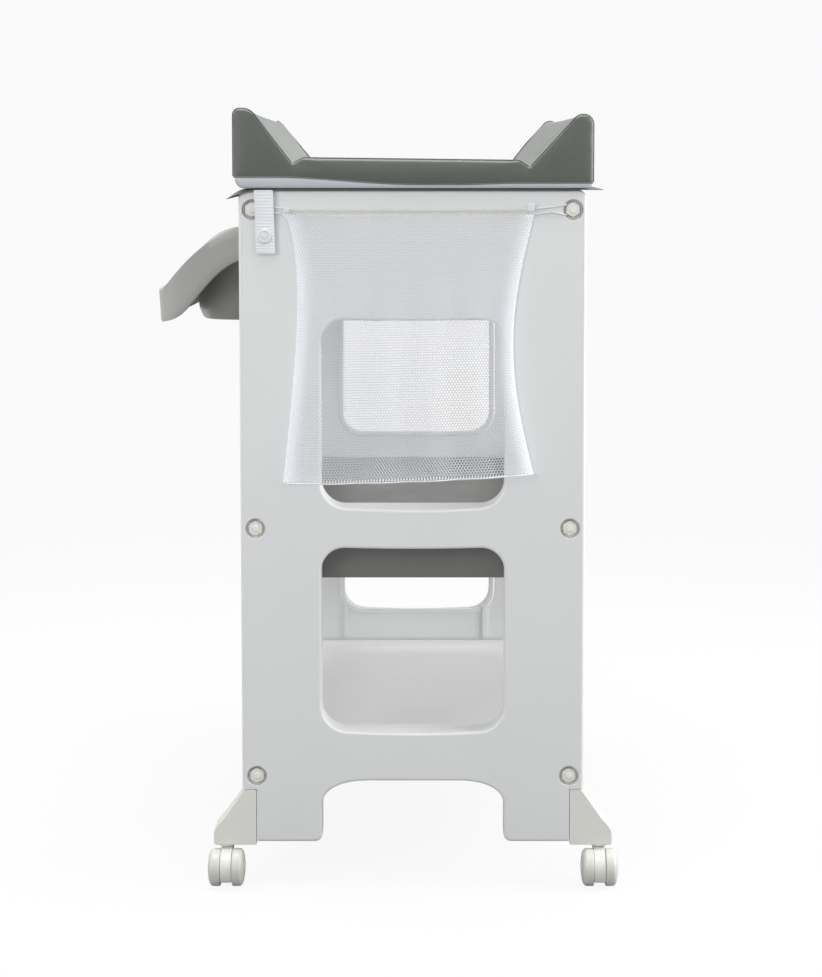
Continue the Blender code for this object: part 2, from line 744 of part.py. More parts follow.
def make_housing_mesh():
    """Castor housing between its wheels, with the swivel stem, about the swivel axis at the floor.

    The housing trails towards -Y.
    """
    eye = HOUSING_EYE_RADIUS
    low = WHEEL_RADIUS - eye
    high = WHEEL_RADIUS + eye
    near = CASTOR_TRAIL - eye
    far = CASTOR_TRAIL + eye
    outline = rounded([
        (near, low, eye - GAP), (far, low, eye - GAP), (far, high, eye - GAP),
        (HOUSING_NECK + HOUSING_ROUND, HOUSING_TOP, HOUSING_ROUND), (-HOUSING_NECK, HOUSING_TOP, HOUSING_ROUND),
        (-HOUSING_NECK, WHEEL_RADIUS + HOUSING_NECK, HOUSING_NECK)])
    hole = list(reversed(circle(AXLE_RADIUS + AXLE_PLAY, BORE_STEPS, (CASTOR_TRAIL, WHEEL_RADIUS))))
    half = HOUSING_WIDTH / 2
    bm = bmesh.new()
    sides = [(HOUSING_ROUND, half), (0, half - HOUSING_ROUND), (0, HOUSING_ROUND - half), (HOUSING_ROUND, -half)]
    plate(bm, [edge(outline, sides), edge(hole, [(0, half), (0, -half)])])
    for vert in bm.verts:
        along, up, across = vert.co
        vert.co = (across, -along, up)
    body = to_mesh(bm, "castor_housing")
    bm = bmesh.new()
    collar_top = BRACKET_BOTTOM - GAP
    turned(bm, [
        (STEM_COLLAR_RADIUS - HOUSING_ROUND, HOUSING_TOP - STEM_ROOT),
        (STEM_COLLAR_RADIUS - HOUSING_ROUND, collar_top),
        (STEM_RADIUS, collar_top),
        (STEM_RADIUS, HOUSING_TOP + STEM_LENGTH),
        (STEM_RADIUS - HOUSING_ROUND, HOUSING_TOP + STEM_LENGTH + HOUSING_ROUND),
    ], BORE_STEPS)
    return combine(body, [to_mesh(bm, "stem")], "UNION")


def make_wheel_mesh():
    """Castor wheel about X, its inner face at X = 0 and its domed face outwards at +X."""
    bore = AXLE_RADIUS + AXLE_PLAY
    profile = [
        (bore, WHEEL_BORE_DEPTH),
        (bore, 0.0),
        (WHEEL_RADIUS - WHEEL_EDGE, 0.0),
        (WHEEL_RADIUS, WHEEL_EDGE),
        (WHEEL_RADIUS, WHEEL_WIDTH - WHEEL_DOME),
        (WHEEL_RADIUS - WHEEL_EDGE, WHEEL_WIDTH - WHEEL_DOME / 2),
        (WHEEL_FACE_RADIUS - WHEEL_EDGE, WHEEL_WIDTH - WHEEL_EDGE),
        (WHEEL_HUB_RADIUS, WHEEL_WIDTH),
    ]
    bm = bmesh.new()
    loft(bm, [[(x, p.x, p.y) for p in circle(radius, WHEEL_STEPS)] for radius, x in profile])
    return to_mesh(bm, "castor_wheel")


def make_axle_mesh():
    """Axle pin along X."""
    half = HOUSING_WIDTH / 2 + AXLE_GRIP
    bm = bmesh.new()
    loft(bm, [[(x, p.x, p.y) for p in circle(AXLE_RADIUS, BORE_STEPS)] for x in (-half, half)])
    return to_mesh(bm, "castor_axle")


def add_castors(unit, finishes):
    """Four castors, each on a pivot at its swivel axis. They all trail towards the near end."""
    housing_mesh = make_housing_mesh()
    wheel_mesh = make_wheel_mesh()
    axle_mesh = make_axle_mesh()
    along_place = PANEL_FACE - BRACKET_THICKNESS / 2
    for end, along in (("near", -1), ("far", 1)):
        for hand, across in (("left", -1), ("right", 1)):
            name = f"{end}_{hand}"
            pivot = add_pivot(name + "_swivel_axis", unit, (across * CASTOR_REACH, along * along_place, 0.0))
            add_part(name + "_castor_housing", housing_mesh, finishes["castor"], pivot)
            hub = (0.0, -CASTOR_TRAIL, WHEEL_RADIUS)
            add_part(name + "_castor_axle", axle_mesh, finishes["steel"], pivot, hub)
            face = HOUSING_WIDTH / 2 + AXLE_PLAY
            for position, outward in (("outer", across), ("inner", -across)):
                wheel_turn = (0.0, 0.0, 0.0 if outward > 0 else math.pi)
                place = (outward * face, -CASTOR_TRAIL, WHEEL_RADIUS)
                add_part(f"{name}_{position}_wheel", wheel_mesh, finishes["castor"], pivot, place, wheel_turn)


# Shelves


def boxes(name, spans):
    """One mesh of separate boxes, each given as its X, Y and Z spans."""
    bm = bmesh.new()
    for (x0, x1), (y0, y1), (z0, z1) in spans:
        loft(bm, [[(x0, y0, z), (x1, y0, z), (x1, y1, z), (x0, y1, z)] for z in (z0, z1)])
    return to_mesh(bm, name)


def cells(start, end, count, rib):
    """Spans of cells between ribs, with a rib at each end."""
    pitch = (end - start - rib) / count
    return [(start + rib + pitch * i, start + pitch * (i + 1)) for i in range(count)]


def round_bars(name, reach, level, radius, start, end, steps=RECESS_STEPS):
    """Round bars along Y, at both ends and on both sides."""
    bm = bmesh.new()
    for across in (-1, 1):
        for along in (-1, 1):
            points = circle(radius, steps, (across * reach, level))
            loft(bm, along_y(points, along * start, along * end))
    return to_mesh(bm, name)


def shelf_mesh(name, section, cuts, level, half_length):
    """Moulded shelf: a section along Y, hollow where it is cut, with a bored pad at each bolt."""
    body = prism(name, section, -half_length, half_length)
    pad_face = PANEL_INNER_FACE - GAP
    pads = round_bars("pads", BOLT_REACH, level, PAD_RADIUS, half_length - PAD_ROOT, pad_face)
    body = combine(body, [pads], "UNION")
    bores = round_bars("bores", BOLT_REACH, level, BORE_RADIUS, pad_face - BORE_DEPTH, pad_face + OVERRUN, BORE_STEPS)
    return combine(body, [*cuts, bores], "DIFFERENCE")


def make_middle_shelf_mesh(half_length):
    """Shelf with a rim along each side, skirts all round and shallow ribs under its floor."""
    half = MIDDLE_SHELF_WIDTH / 2
    rim = half - MIDDLE_RIM_WIDTH
    foot = rim - MIDDLE_RIM_DRAFT
    section = rounded([
        (-half, MIDDLE_SHELF_BOTTOM, 0), (half, MIDDLE_SHELF_BOTTOM, 0),
        (half, MIDDLE_SHELF_RIM, SHELF_ROUND), (rim, MIDDLE_SHELF_RIM, SHELF_ROUND),
        (foot, MIDDLE_SHELF_FLOOR, SHELF_ROUND), (-foot, MIDDLE_SHELF_FLOOR, SHELF_ROUND),
        (-rim, MIDDLE_SHELF_RIM, SHELF_ROUND), (-half, MIDDLE_SHELF_RIM, SHELF_ROUND)], 2)
    ceiling = MIDDLE_SHELF_FLOOR - SHELF_SKIN
    rib_foot = ceiling - MIDDLE_SHELF_RIB
    inside = (SHELF_RIB - half, half - SHELF_RIB)
    length = (SHELF_RIB - half_length, half_length - SHELF_RIB)
    hollow = boxes("hollow", [(inside, length, (MIDDLE_SHELF_BOTTOM - OVERRUN, rib_foot))])
    ribbed = boxes("ribbed", [(x, y, (rib_foot - OVERRUN, ceiling))
                              for x in cells(-half, half, MIDDLE_CELLS_ACROSS, SHELF_RIB)
                              for y in cells(-half_length, half_length, CELLS_ALONG, SHELF_RIB)])
    return shelf_mesh("middle_shelf", section, [hollow, ribbed], MIDDLE_BOLT_LEVEL, half_length)


def make_tray_mesh(half, half_length):
    """Space of the lower shelf's tray, with a lip all round and a rounded foot."""
    outline = rectangle(LOWER_RIM_WIDTH - half, half - LOWER_RIM_WIDTH, LOWER_LIP_WIDTH - half_length,
                        half_length - LOWER_LIP_WIDTH, LOWER_TRAY_CORNER)
    bm = bmesh.new()
    plate(bm, [edge(outline, [(0, LOWER_SHELF_RIM + OVERRUN)] + under_rounding(LOWER_TRAY_ROUND, LOWER_SHELF_FLOOR))])
    return to_mesh(bm, "tray")


def make_lower_shelf_mesh(half_length):
    """Tray between two hollow beams, with shallow ribs under its floor."""
    half = LOWER_SHELF_WIDTH / 2
    beam = half - LOWER_BEAM_WIDTH
    section = rounded([
        (-half, LOWER_BEAM_BOTTOM, 0), (-beam, LOWER_BEAM_BOTTOM, 0), (-beam, LOWER_SHELF_BOTTOM, 0),
        (beam, LOWER_SHELF_BOTTOM, 0), (beam, LOWER_BEAM_BOTTOM, 0), (half, LOWER_BEAM_BOTTOM, 0),
        (half, LOWER_SHELF_RIM, SHELF_ROUND), (-half, LOWER_SHELF_RIM, SHELF_ROUND)], 2)
    ribbed = boxes("ribbed", [(x, y, (LOWER_SHELF_BOTTOM - OVERRUN, LOWER_SHELF_FLOOR - SHELF_SKIN))
                              for x in cells(-beam, beam, LOWER_CELLS_ACROSS, SHELF_RIB)
                              for y in cells(-half_length, half_length, CELLS_ALONG, SHELF_RIB)])
    length = (SHELF_RIB - half_length, half_length - SHELF_RIB)
    channels = boxes("channels", [(x, length, (LOWER_BEAM_BOTTOM - OVERRUN, LOWER_BEAM_CEILING))
                                  for x in ((SHELF_RIB - half, -beam - SHELF_RIB), (beam + SHELF_RIB, half - SHELF_RIB))])
    tray = make_tray_mesh(half, half_length)
    return shelf_mesh("lower_shelf", section, [tray, ribbed, channels], BOTTOM_BOLT_LEVEL, half_length)


def add_shelves(unit, finishes):
    """Both shelves, a standoff away from the panels, which they meet at their pads."""
    half_length = PANEL_INNER_FACE - SHELF_STANDOFF
    add_part("middle_shelf", make_middle_shelf_mesh(half_length), finishes["grey"], unit)
    add_part("lower_shelf", make_lower_shelf_mesh(half_length), finishes["shelf"], unit)


# Bath


def bath_rim_height(x, y):
    """Height of the rim's crest, which steps down at the front and dips in its middle."""
    forward = smooth((-x - BATH_STEP_START) / (BATH_FRONT - BATH_STEP_START))
    inward = 1 - min(abs(y) / BATH_HALF_LENGTH, 1.0)
    dip = smooth((inward - BATH_DIP_START_SHARE) / (BATH_DIP_END_SHARE - BATH_DIP_START_SHARE))
    return BATH_RIM - forward * (BATH_FRONT_STEP + BATH_DIP * dip)


def bath_skirt_depth(y):
    """Depth of the lip's skirt, which swells at the shoulders of the dip."""
    inward = 1 - min(abs(y) / BATH_HALF_LENGTH, 1.0)
    return BATH_SKIRT + BATH_SKIRT_SWELL * smooth(1 - abs(inward - BATH_SHOULDER_SHARE) / BATH_SHOULDER_WIDTH_SHARE)


def bath_ring(front, back, end, radius, drop=0.0, flare=0.0, skirt=0.0, floor=None):
    """Ring of the bath, given as insets from its rectangle, then bowed to the front.

    drop is how far the ring lies under the rim. flare and skirt are shares of the
    lip's flare and of its skirt. floor, where given, is the ring's height over the
    sloping floor instead.
    """
    left = front - BATH_FRONT
    right = BATH_BACK - back
    length = BATH_HALF_LENGTH - end
    plan = []
    corners = [(left, -length), (right, -length), (right, length), (left, length)]
    for i, (x, y) in enumerate(corners):
        nx, ny = corners[(i + 1) % 4]
        along = Vector((nx - x, ny - y)).normalized()
        inward = Vector((-along.y, along.x))
        start = Vector((x, y)) + along * radius
        stop = Vector((nx, ny)) - along * radius
        steps = BATH_FRONT_STEPS if i == 3 else BATH_STEPS
        plan += [start.lerp(stop, k / steps) for k in range(steps)]
        centre = stop + inward * radius
        for k in range(BATH_STEPS):
            angle = math.pi / 2 * k / BATH_STEPS
            plan.append(centre + along * radius * math.sin(angle) - inward * radius * math.cos(angle))
    ring = []
    for point in plan:
        reach = 1 - min(abs(point.y) / BATH_HALF_LENGTH, 1.0) ** 2
        forward = min(max(-point.x / BATH_FRONT, 0.0), 1.0)
        if floor is None:
            z = bath_rim_height(point.x, point.y) - drop - flare * forward * reach * BATH_FLARE_DROP
            z -= skirt * (BATH_SKIRT + forward * (bath_skirt_depth(point.y) - BATH_SKIRT))
        else:
            z = BATH_FLOOR + BATH_FLOOR_RISE * abs(point.y) / BATH_HALF_LENGTH + floor
        x = point.x - forward * reach * (BATH_BOW + flare * flare * BATH_FLARE)
        ring.append((x, point.y, z))
    return ring


def drain_ring(radius, height, around):
    """Ring round the drain, with a point towards each point of the ring around it."""
    ring = []
    for x, y, _ in around:
        spoke = Vector((x - DRAIN_PLACE, y)).normalized() * radius
        ring.append((DRAIN_PLACE + spoke.x, spoke.y, height))
    return ring


def make_bath_mesh():
    """Thin-walled bath: one closed skin from the drain over the rim and back beneath."""
    wall = BATH_WALL
    apron = BATH_APRON
    outer = BATH_OUTER_RADIUS
    basin = BATH_BASIN_RADIUS
    front = BATH_FRONT_DECK
    back = BATH_BACK_DECK
    end = BATH_END_DECK
    turn = BATH_DECK_ROUND
    foot = (front + BATH_WALL_DRAFT, back + BATH_BACK_SLOPE, end + BATH_END_SLOPE)
    low = [value + BATH_FOOT_RUN for value in foot]
    bend = [value + BATH_FOOT_RUN * FOOT_BEND_RUN_SHARE for value in foot]
    bend_rise = BATH_FOOT_RISE * FOOT_BEND_RISE_SHARE
    upper = [
        bath_ring(*low, basin, floor=0.0),
        bath_ring(*bend, basin, floor=bend_rise),
        bath_ring(*foot, basin, floor=BATH_FOOT_RISE),
        bath_ring(front + turn, back + turn, end + turn, basin, turn),
        bath_ring(front, back, end, basin),
        bath_ring(0.0, 0.0, 0.0, outer),
    ]
    for reach, drop, flare in LIP_ROLL_SHARES:
        upper.append(bath_ring(*[-apron * reach] * 3, outer, BATH_APRON_DROP * drop, flare))
    upper.append(bath_ring(-apron, -apron, -apron, outer, BATH_APRON_DROP, 1.0, 1.0))
    skirt = apron - wall
    lower = [bath_ring(-skirt, -skirt, -skirt, outer - wall, BATH_APRON_DROP, 1.0, 1.0)]
    for reach, drop, flare in reversed(LIP_ROLL_SHARES):
        under = BATH_APRON_DROP * drop + wall * LIP_UNDER_SHARE
        lower.append(bath_ring(*[-skirt * reach] * 3, outer - wall, under, flare))
    lower += [
        bath_ring(0.0, 0.0, 0.0, outer - wall, wall),
        bath_ring(front - wall, back - wall, end - wall, basin + wall, wall + turn / 2),
        bath_ring(*[value - wall for value in foot], basin + wall, floor=BATH_FOOT_RISE),
        bath_ring(*[value - wall / 2 for value in bend], basin, floor=bend_rise - wall),
        bath_ring(*low, basin, floor=-wall),
    ]
    mouth = drain_ring(DRAIN_RADIUS, BATH_FLOOR, upper[0])
    collar = drain_ring(DRAIN_RADIUS, BATH_FLOOR - DRAIN_DEPTH, upper[0])
    collar_out = drain_ring(DRAIN_RADIUS + wall, BATH_FLOOR - DRAIN_DEPTH, upper[0])
    collar_top = drain_ring(DRAIN_RADIUS + wall, BATH_FLOOR - wall, upper[0])
    bm = bmesh.new()
    loft(bm, [mouth, *upper, *lower, collar_top, collar_out, collar], closed=True)
    body = to_mesh(bm, "bath")
    face = PANEL_INNER_FACE - GAP
    block_top = TOP_BOLT_LEVEL + BLOCK_RISE
    blocks = []
    for across in (-1, 1):
        for along in (-1, 1):
            middle = across * TOP_BOLT_REACH
            outline = rectangle(middle - BLOCK_WIDTH / 2, middle + BLOCK_WIDTH / 2, block_top - BLOCK_HEIGHT,
                                block_top, SHELF_ROUND, 2)
            blocks.append(prism("block", outline, *sorted((along * (face - BLOCK_DEPTH), along * face))))
    body = combine(body, blocks, "UNION")
    bores = round_bars("bores", TOP_BOLT_REACH, TOP_BOLT_LEVEL, BORE_RADIUS, face - BLOCK_DEPTH - OVERRUN,
                       face + OVERRUN, BORE_STEPS)
    return combine(body, [bores], "DIFFERENCE")


def make_plug_mesh():
    """Drain plug: a tapered stopper, a flange on the floor and a grip."""
    body = DRAIN_RADIUS - AXLE_PLAY
    flange = DRAIN_RADIUS + PLUG_FLANGE
    grip_top = PLUG_FLANGE_HEIGHT + PLUG_GRIP_HEIGHT
    bm = bmesh.new()
    turned(bm, [
        (body - PLUG_DRAFT, -DRAIN_DEPTH),
        (body, GAP),
        (flange, GAP),
        (flange - PLUG_DRAFT, PLUG_FLANGE_HEIGHT),
        (PLUG_GRIP_RADIUS, PLUG_FLANGE_HEIGHT),
        (PLUG_GRIP_RADIUS - PLUG_DRAFT, PLUG_FLANGE_HEIGHT + PLUG_GRIP_HEIGHT / 2),
        (PLUG_GRIP_RADIUS + PLUG_DRAFT, grip_top - PLUG_DRAFT),
        (PLUG_GRIP_RADIUS, grip_top),
    ], RECESS_STEPS)
    return to_mesh(bm, "drain_plug")


def add_bath(unit, finishes):
    add_part("bath", make_bath_mesh(), finishes["grey"], unit)
    add_part("drain_plug", make_plug_mesh(), finishes["grey"], unit, (DRAIN_PLACE, 0.0, BATH_FLOOR))


# Changing mat


def mat_outline():
    """Section of the mat across its two wedges, anticlockwise from the lower left."""
    left = -MAT_LEFT
    right = MAT_RIGHT
    left_foot = left + WEDGE_BASE_WIDTH
    right_foot = right - WEDGE_BASE_WIDTH
    left_top = MAT_BOTTOM + LEFT_WEDGE_HEIGHT
    right_top = MAT_BOTTOM + RIGHT_WEDGE_HEIGHT
    valley = MAT_BOTTOM + MAT_VALLEY
    hem = MAT_HEM
    points = [
        (left + hem, MAT_BOTTOM), (left / 2, MAT_BOTTOM), (right / 2, MAT_BOTTOM), (right - hem, MAT_BOTTOM),
        (right, MAT_BOTTOM + WEDGE_SHOULDER), (right + hem / 2, (MAT_BOTTOM + right_top) / 2),
        (right, right_top - WEDGE_SHOULDER), (right - WEDGE_SHOULDER, right_top),
        (right - WEDGE_TOP_WIDTH, right_top - WEDGE_RIDGE_DROP),
    ]
    points += slope(points[-1], (right_foot, valley - MAT_LEAN / 2), WEDGE_CROWN)
    steps = MAT_STEPS // 2
    bend = WEDGE_SHOULDER * 2
    for i in range(steps + 1):
        share = i / steps
        x = (right_foot - bend) * (1 - share) + (left_foot + bend) * share
        crown = MAT_CROWN * math.sin(math.pi * share)
        points.append((x, MAT_BOTTOM + MAT_THICKNESS + MAT_LEAN * share - MAT_LEAN / 2 + crown))
    points.append((left_foot, valley + MAT_LEAN / 2))
    ridge = (left + WEDGE_TOP_WIDTH, left_top - WEDGE_RIDGE_DROP)
    points += slope(points[-1], ridge, WEDGE_CROWN)
    points += [
        (left + WEDGE_SHOULDER, left_top), (left, left_top - WEDGE_SHOULDER),
        (left - hem / 2, (MAT_BOTTOM + left_top) / 2), (left, MAT_BOTTOM + WEDGE_SHOULDER),
    ]
    return [Vector(point) for point in points]


def slope(start, stop, crown, steps=4):
    """Points after start along a crowned slope, stop included."""
    start = Vector(start)
    stop = Vector(stop)
    along = (stop - start).normalized()
    out = Vector((along.y, -along.x))
    points = []
    for i in range(1, steps + 1):
        share = i / steps
        points.append(tuple(start.lerp(stop, share) + out * crown * math.sin(math.pi * share)))
    return points


def make_mat_mesh():
    """Mat lofted along Y, its ends rounded and its sides a little drawn in between them."""
    outline = mat_outline()
    half = MAT_LENGTH / 2
    bend = MAT_END_ROUND * MAT_END_SHARE
    stations = [(half, MAT_END_ROUND), (half - bend, bend), (half - MAT_END_ROUND, 0.0)]
    count = MAT_STEPS // 3
    for i in range(1, count):
        stations.append((half * (1 - i / count), 0.0))
    stations += [(0.0, 0.0)] + [(-y, shrink) for y, shrink in reversed(stations)]
    rings = []
    for y, shrink in stations:
        waist = MAT_HEM * math.cos(math.pi * y / MAT_LENGTH)
        ring = []
        for point in inset(outline, shrink):
            side = point.x / MAT_LEFT
            z = max(point.y, MAT_BOTTOM)
            ring.append((point.x - waist * side ** 3, y, z))
        rings.append(ring)
    bm = bmesh.new()
    loft(bm, rings)
    return to_mesh(bm, "changing_mat")


def make_base_mesh():
    """Pale padded base under the mat, its lower corners rounded."""
    left = BASE_MARGIN - MAT_LEFT
    right = MAT_RIGHT - BASE_MARGIN
    half = MAT_LENGTH / 2 - BASE_MARGIN
    outline = rectangle(left, right, -half, half, BASE_CORNER)
    profile = [(0, BASE_BOTTOM + BASE_THICKNESS)] + under_rounding(BASE_THICKNESS / 2, BASE_BOTTOM)
    bm = bmesh.new()
    plate(bm, [edge(outline, profile)])
    return to_mesh(bm, "mat_base")


def make_sheet_mesh():
    """Thin sheet under the base that bends down over the panels' rounded front corners."""
    start = PANEL_WIDTH / 2 - PANEL_TOP_RADIUS / 2
    section = [(SHEET_RIGHT, SHEET_BOTTOM), (0.0, SHEET_BOTTOM)]
    for i in range(SHEET_STEPS + 1):
        share = i / SHEET_STEPS
        x = start + (SHEET_LEFT - start) * share
        section.append((-x, SHEET_BOTTOM - SHEET_DROOP * share ** SHEET_BEND_SHARE))
    lower = [Vector(point) for point in reversed(section)]
    upper = []
    for i, point in enumerate(lower):
        after = lower[min(i + 1, len(lower) - 1)]
        before = lower[max(i - 1, 0)]
        along = (after - before).normalized()
        upper.append(point + Vector((-along.y, along.x)) * SHEET_THICKNESS)
    outline = lower + list(reversed(upper))
    half = SHEET_LENGTH / 2
    return prism("mat_sheet", outline, -half, half)


def add_mat(unit, finishes):
    add_part("changing_mat", make_mat_mesh(), finishes["mat"], unit)
    add_part("mat_base", make_base_mesh(), finishes["base"], unit)
    add_part("mat_sheet", make_sheet_mesh(), finishes["sheet"], unit)


# Straps


def make_strap_mesh():
    """Webbing folded up behind itself, hanging from the sheet. Y = 0 is its back face."""
    thick = STRAP_THICKNESS
    front = -2 * thick - STRAP_SLACK
    top = PANEL_TOP
    fold = thick + STRAP_SLACK / 2
    middle = front / 2
    back_top = STRAP_BOTTOM + STRAP_RETURN
    level = STRAP_BOTTOM + fold
    outer = []
    inner = []
    for i in range(CORNER_STEPS + 1):
        angle = math.pi * i / CORNER_STEPS
        outer.append((middle - fold * math.cos(angle), level - fold * math.sin(angle)))
        inner.append((middle - (fold - thick) * math.cos(angle), level - (fold - thick) * math.sin(angle)))
    outline = [(front, top), *outer, (0.0, back_top), (-thick, back_top), *reversed(inner), (front + thick, top)]
    half = STRAP_WIDTH / 2
    bm = bmesh.new()
    loft(bm, [[(x, y, z) for y, z in outline] for x in (-half, half)])
    return to_mesh(bm, "strap")


def make_snap_mesh():
    """Snap cap along Z, its back at Z = 0."""
    bm = bmesh.new()
    turned(bm, [
        (SNAP_RADIUS, 0.0),
        (SNAP_RADIUS, SNAP_HEIGHT - SNAP_ROUND),
        (SNAP_RADIUS - SNAP_ROUND, SNAP_HEIGHT),
        (SNAP_RADIUS / 2, SNAP_HEIGHT),
        (SNAP_RADIUS / 2 - SNAP_ROUND / 2, SNAP_HEIGHT - SNAP_ROUND / 2),
    ], RECESS_STEPS)
    return to_mesh(bm, "strap_snap")


def add_straps(unit, finishes):
    """One strap hangs at each end, the far one turned half round."""
    strap_mesh = make_strap_mesh()
    snap_mesh = make_snap_mesh()
    back = PANEL_FACE + STRAP_STANDOFF
    front = back + 2 * STRAP_THICKNESS + STRAP_SLACK + GAP
    height = STRAP_BOTTOM + SNAP_RISE
    for end, along in (("near", -1), ("far", 1)):
        spin = 0.0 if along < 0 else math.pi
        reach = along * STRAP_REACH
        add_part(end + "_strap", strap_mesh, finishes["webbing"], unit, (reach, along * back, 0.0), (0.0, 0.0, spin))
        add_part(end + "_strap_snap", snap_mesh, finishes["bolt"], unit, (reach, along * front, height),
                 (math.pi / 2, 0.0, spin))


# Laundry bag


def bag_ring(share, shrink):
    """Ring of the bag at a share of its height from the top, with shallow hanging folds."""
    left = BAG_LEFT_WAIST * math.sin(math.pi * share ** BAG_LEFT_WAIST_SHARE) - BAG_TOP_LEFT + shrink
    right = BAG_TOP_RIGHT - BAG_RIGHT_WAIST * math.sin(math.pi * share) - shrink
    back = PANEL_FACE + GAP + shrink
    depth = BAG_TOP_DEPTH + (BAG_BELLY_DEPTH - BAG_TOP_DEPTH) * smooth(share / BAG_BELLY_SHARE)
    front = PANEL_FACE + depth - shrink
    left_level = BAG_TOP - (BAG_HEIGHT + BAG_SKEW / 2) * share
    right_level = BAG_TOP - (BAG_HEIGHT - BAG_SKEW / 2) * share
    count = 2 * BAG_STEPS
    ring = []
    for i in range(count + 1):
        across = i / count
        belly = max(math.sin(math.pi * across), 0.0) ** BAG_FRONT_SHARE
        fold = BAG_FOLD * math.cos(2 * math.pi * BAG_FOLDS * across) * belly * min(share / BAG_FOLD_SHARE, 1.0)
        y = back + (front - back) * belly + fold + BAG_CORNER * (1 - belly)
        ring.append((left + (right - left) * across, -y, left_level + (right_level - left_level) * across))
    for i in range(BAG_STEPS + 1):
        across = 1 - i / BAG_STEPS
        ring.append((left + (right - left) * across, -back, left_level + (right_level - left_level) * across))
    return ring


def make_bag_mesh():
    """Open-topped cloth pouch that hangs against the near panel."""
    outer = [bag_ring(share, 0.0) for share in BAG_LEVEL_SHARES]
    inner = [bag_ring(share, BAG_CLOTH) for share in BAG_LEVEL_SHARES[:-1]]
    floor = [(x, y, z + BAG_CLOTH) for x, y, z in bag_ring(BAG_LEVEL_SHARES[-1], BAG_CLOTH)]
    bm = bmesh.new()
    loft(bm, [*reversed(outer), *inner, floor])
    return to_mesh(bm, "laundry_bag")


def make_casing_mesh():
    """Flat tube sewn along the bag's top, through which the cord runs. Y = 0 is the panel's face."""
    low = BAG_TOP + GAP
    high = low + CASING_HEIGHT
    outline = rectangle(-CASING_DEPTH - GAP, -GAP, low, high, CASING_DEPTH / 3, 2)
    bore = inset(outline, CASING_CLOTH)
    left = -BAG_TOP_LEFT + BAG_CORNER
    right = BAG_TOP_RIGHT - BAG_CORNER
    bm = bmesh.new()
    rings = [[(x, p.x, p.y) for p in points] for points, x in
             ((outline, left), (outline, right), (bore, right), (bore, left))]
    loft(bm, rings, closed=True)
    return to_mesh(bm, "bag_casing")


def cord_points():
    """Centre line of the cord, which loops round both bolt heads and runs through the casing.

    Each loop lies in the bolt's recess, climbs over its edge on both sides and comes
    back to the casing's end, where the cord is tied.
    """
    casing_level = BAG_TOP + GAP + CASING_HEIGHT / 2
    hook = []
    for i in range(HOOK_STEPS + 1):
        angle = math.pi + CORD_HOOK_TURN * i / HOOK_STEPS - CORD_HOOK_TURN / 2
        hook.append((CORD_LOOP_RADIUS * math.cos(angle), -CORD_LOOP_DEPTH, CORD_LOOP_RADIUS * math.sin(angle)))
    leads = []
    for across, _, up in (hook[0], hook[-1]):
        leads.append([(across, CORD_RUN / 2, up), (across + CORD_RUN, CORD_RUN, up * CORD_RISE_SHARE),
                      (across + CORD_LEAD, CORD_RUN, up * CORD_LEAD_SHARE)])
    upper_lead, lower_lead = leads
    loop = [*reversed(lower_lead), *reversed(hook), *upper_lead]
    left = [(x - TOP_BOLT_REACH, out, z + TOP_BOLT_LEVEL) for x, out, z in loop]
    right = [(TOP_BOLT_REACH - x, out, z + TOP_BOLT_LEVEL) for x, out, z in reversed(loop)]
    tail = casing_level - CORD_END_DROP - CORD_RADIUS
    left.insert(0, (-BAG_TOP_LEFT - CORD_RADIUS, CORD_RUN, tail))
    right.append((BAG_TOP_RIGHT + CORD_RADIUS, CORD_RUN, tail))
    middle = [(x, CORD_RUN, casing_level) for x in (CORD_LEAD - BAG_TOP_LEFT, BAG_TOP_RIGHT - CORD_LEAD)]
    return [(x, -out, z) for x, out, z in [*left, *middle, *right]]


def make_cord_curve():
    """Round cord on a poly spline with filled ends, about the near panel's face."""
    curve = bpy.data.curves.new("bag_cord", "CURVE")
    curve.dimensions = "3D"
    curve.bevel_depth = CORD_RADIUS
    curve.bevel_resolution = 2
    curve.use_fill_caps = True
    points = cord_points()
    spline = curve.splines.new("POLY")
    spline.points.add(len(points) - 1)
    for place, point in zip(points, spline.points):
        point.co = (*place, 1.0)
    return curve


def add_bag(unit, finishes):
    face = (0.0, -PANEL_FACE, 0.0)
    add_part("laundry_bag", make_bag_mesh(), finishes["mesh"], unit)
    add_part("bag_casing", make_casing_mesh(), finishes["mesh"], unit, face)
    add_part("bag_cord", make_cord_curve(), finishes["webbing"], unit, face)


# Assembly


def stand_on_origin(unit):
    """Move the unit so that the origin is the middle of its box at the floor."""
    bpy.context.view_layer.update()
    lows = [math.inf] * 3
    highs = [-math.inf] * 3
    for part in bpy.context.scene.objects:
        if part.type == "EMPTY":
            continue
        for corner in part.bound_box:
            place = part.matrix_world @ Vector(corner)
            lows = [min(a, b) for a, b in zip(lows, place)]
            highs = [max(a, b) for a, b in zip(highs, place)]
    unit.location = (-(lows[0] + highs[0]) / 2, -(lows[1] + highs[1]) / 2, -lows[2])


def main():
    for item in list(bpy.data.objects):
        bpy.data.objects.remove(item, do_unlink=True)
    finishes = make_finishes()
    unit = add_pivot("changing_unit", None, (0.0, 0.0, 0.0))
    add_panels(unit, finishes)
    add_brackets(unit, finishes)
    add_castors(unit, finishes)
    add_shelves(unit, finishes)
    add_bath(unit, finishes)
    add_mat(unit, finishes)
    add_straps(unit, finishes)
    add_bag(unit, finishes)
    stand_on_origin(unit)


main()
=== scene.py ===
"""Looks of the changing unit: its finishes, its soft parts and the studio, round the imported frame.

Lengths are metres. Pieces are built about the unit's middle line, with X across the
panels and Y from the near panel to the far one, and are then moved to where the frame is.
"""

import json
import math

import bmesh
import bpy
from mathutils import Matrix, Vector, noise

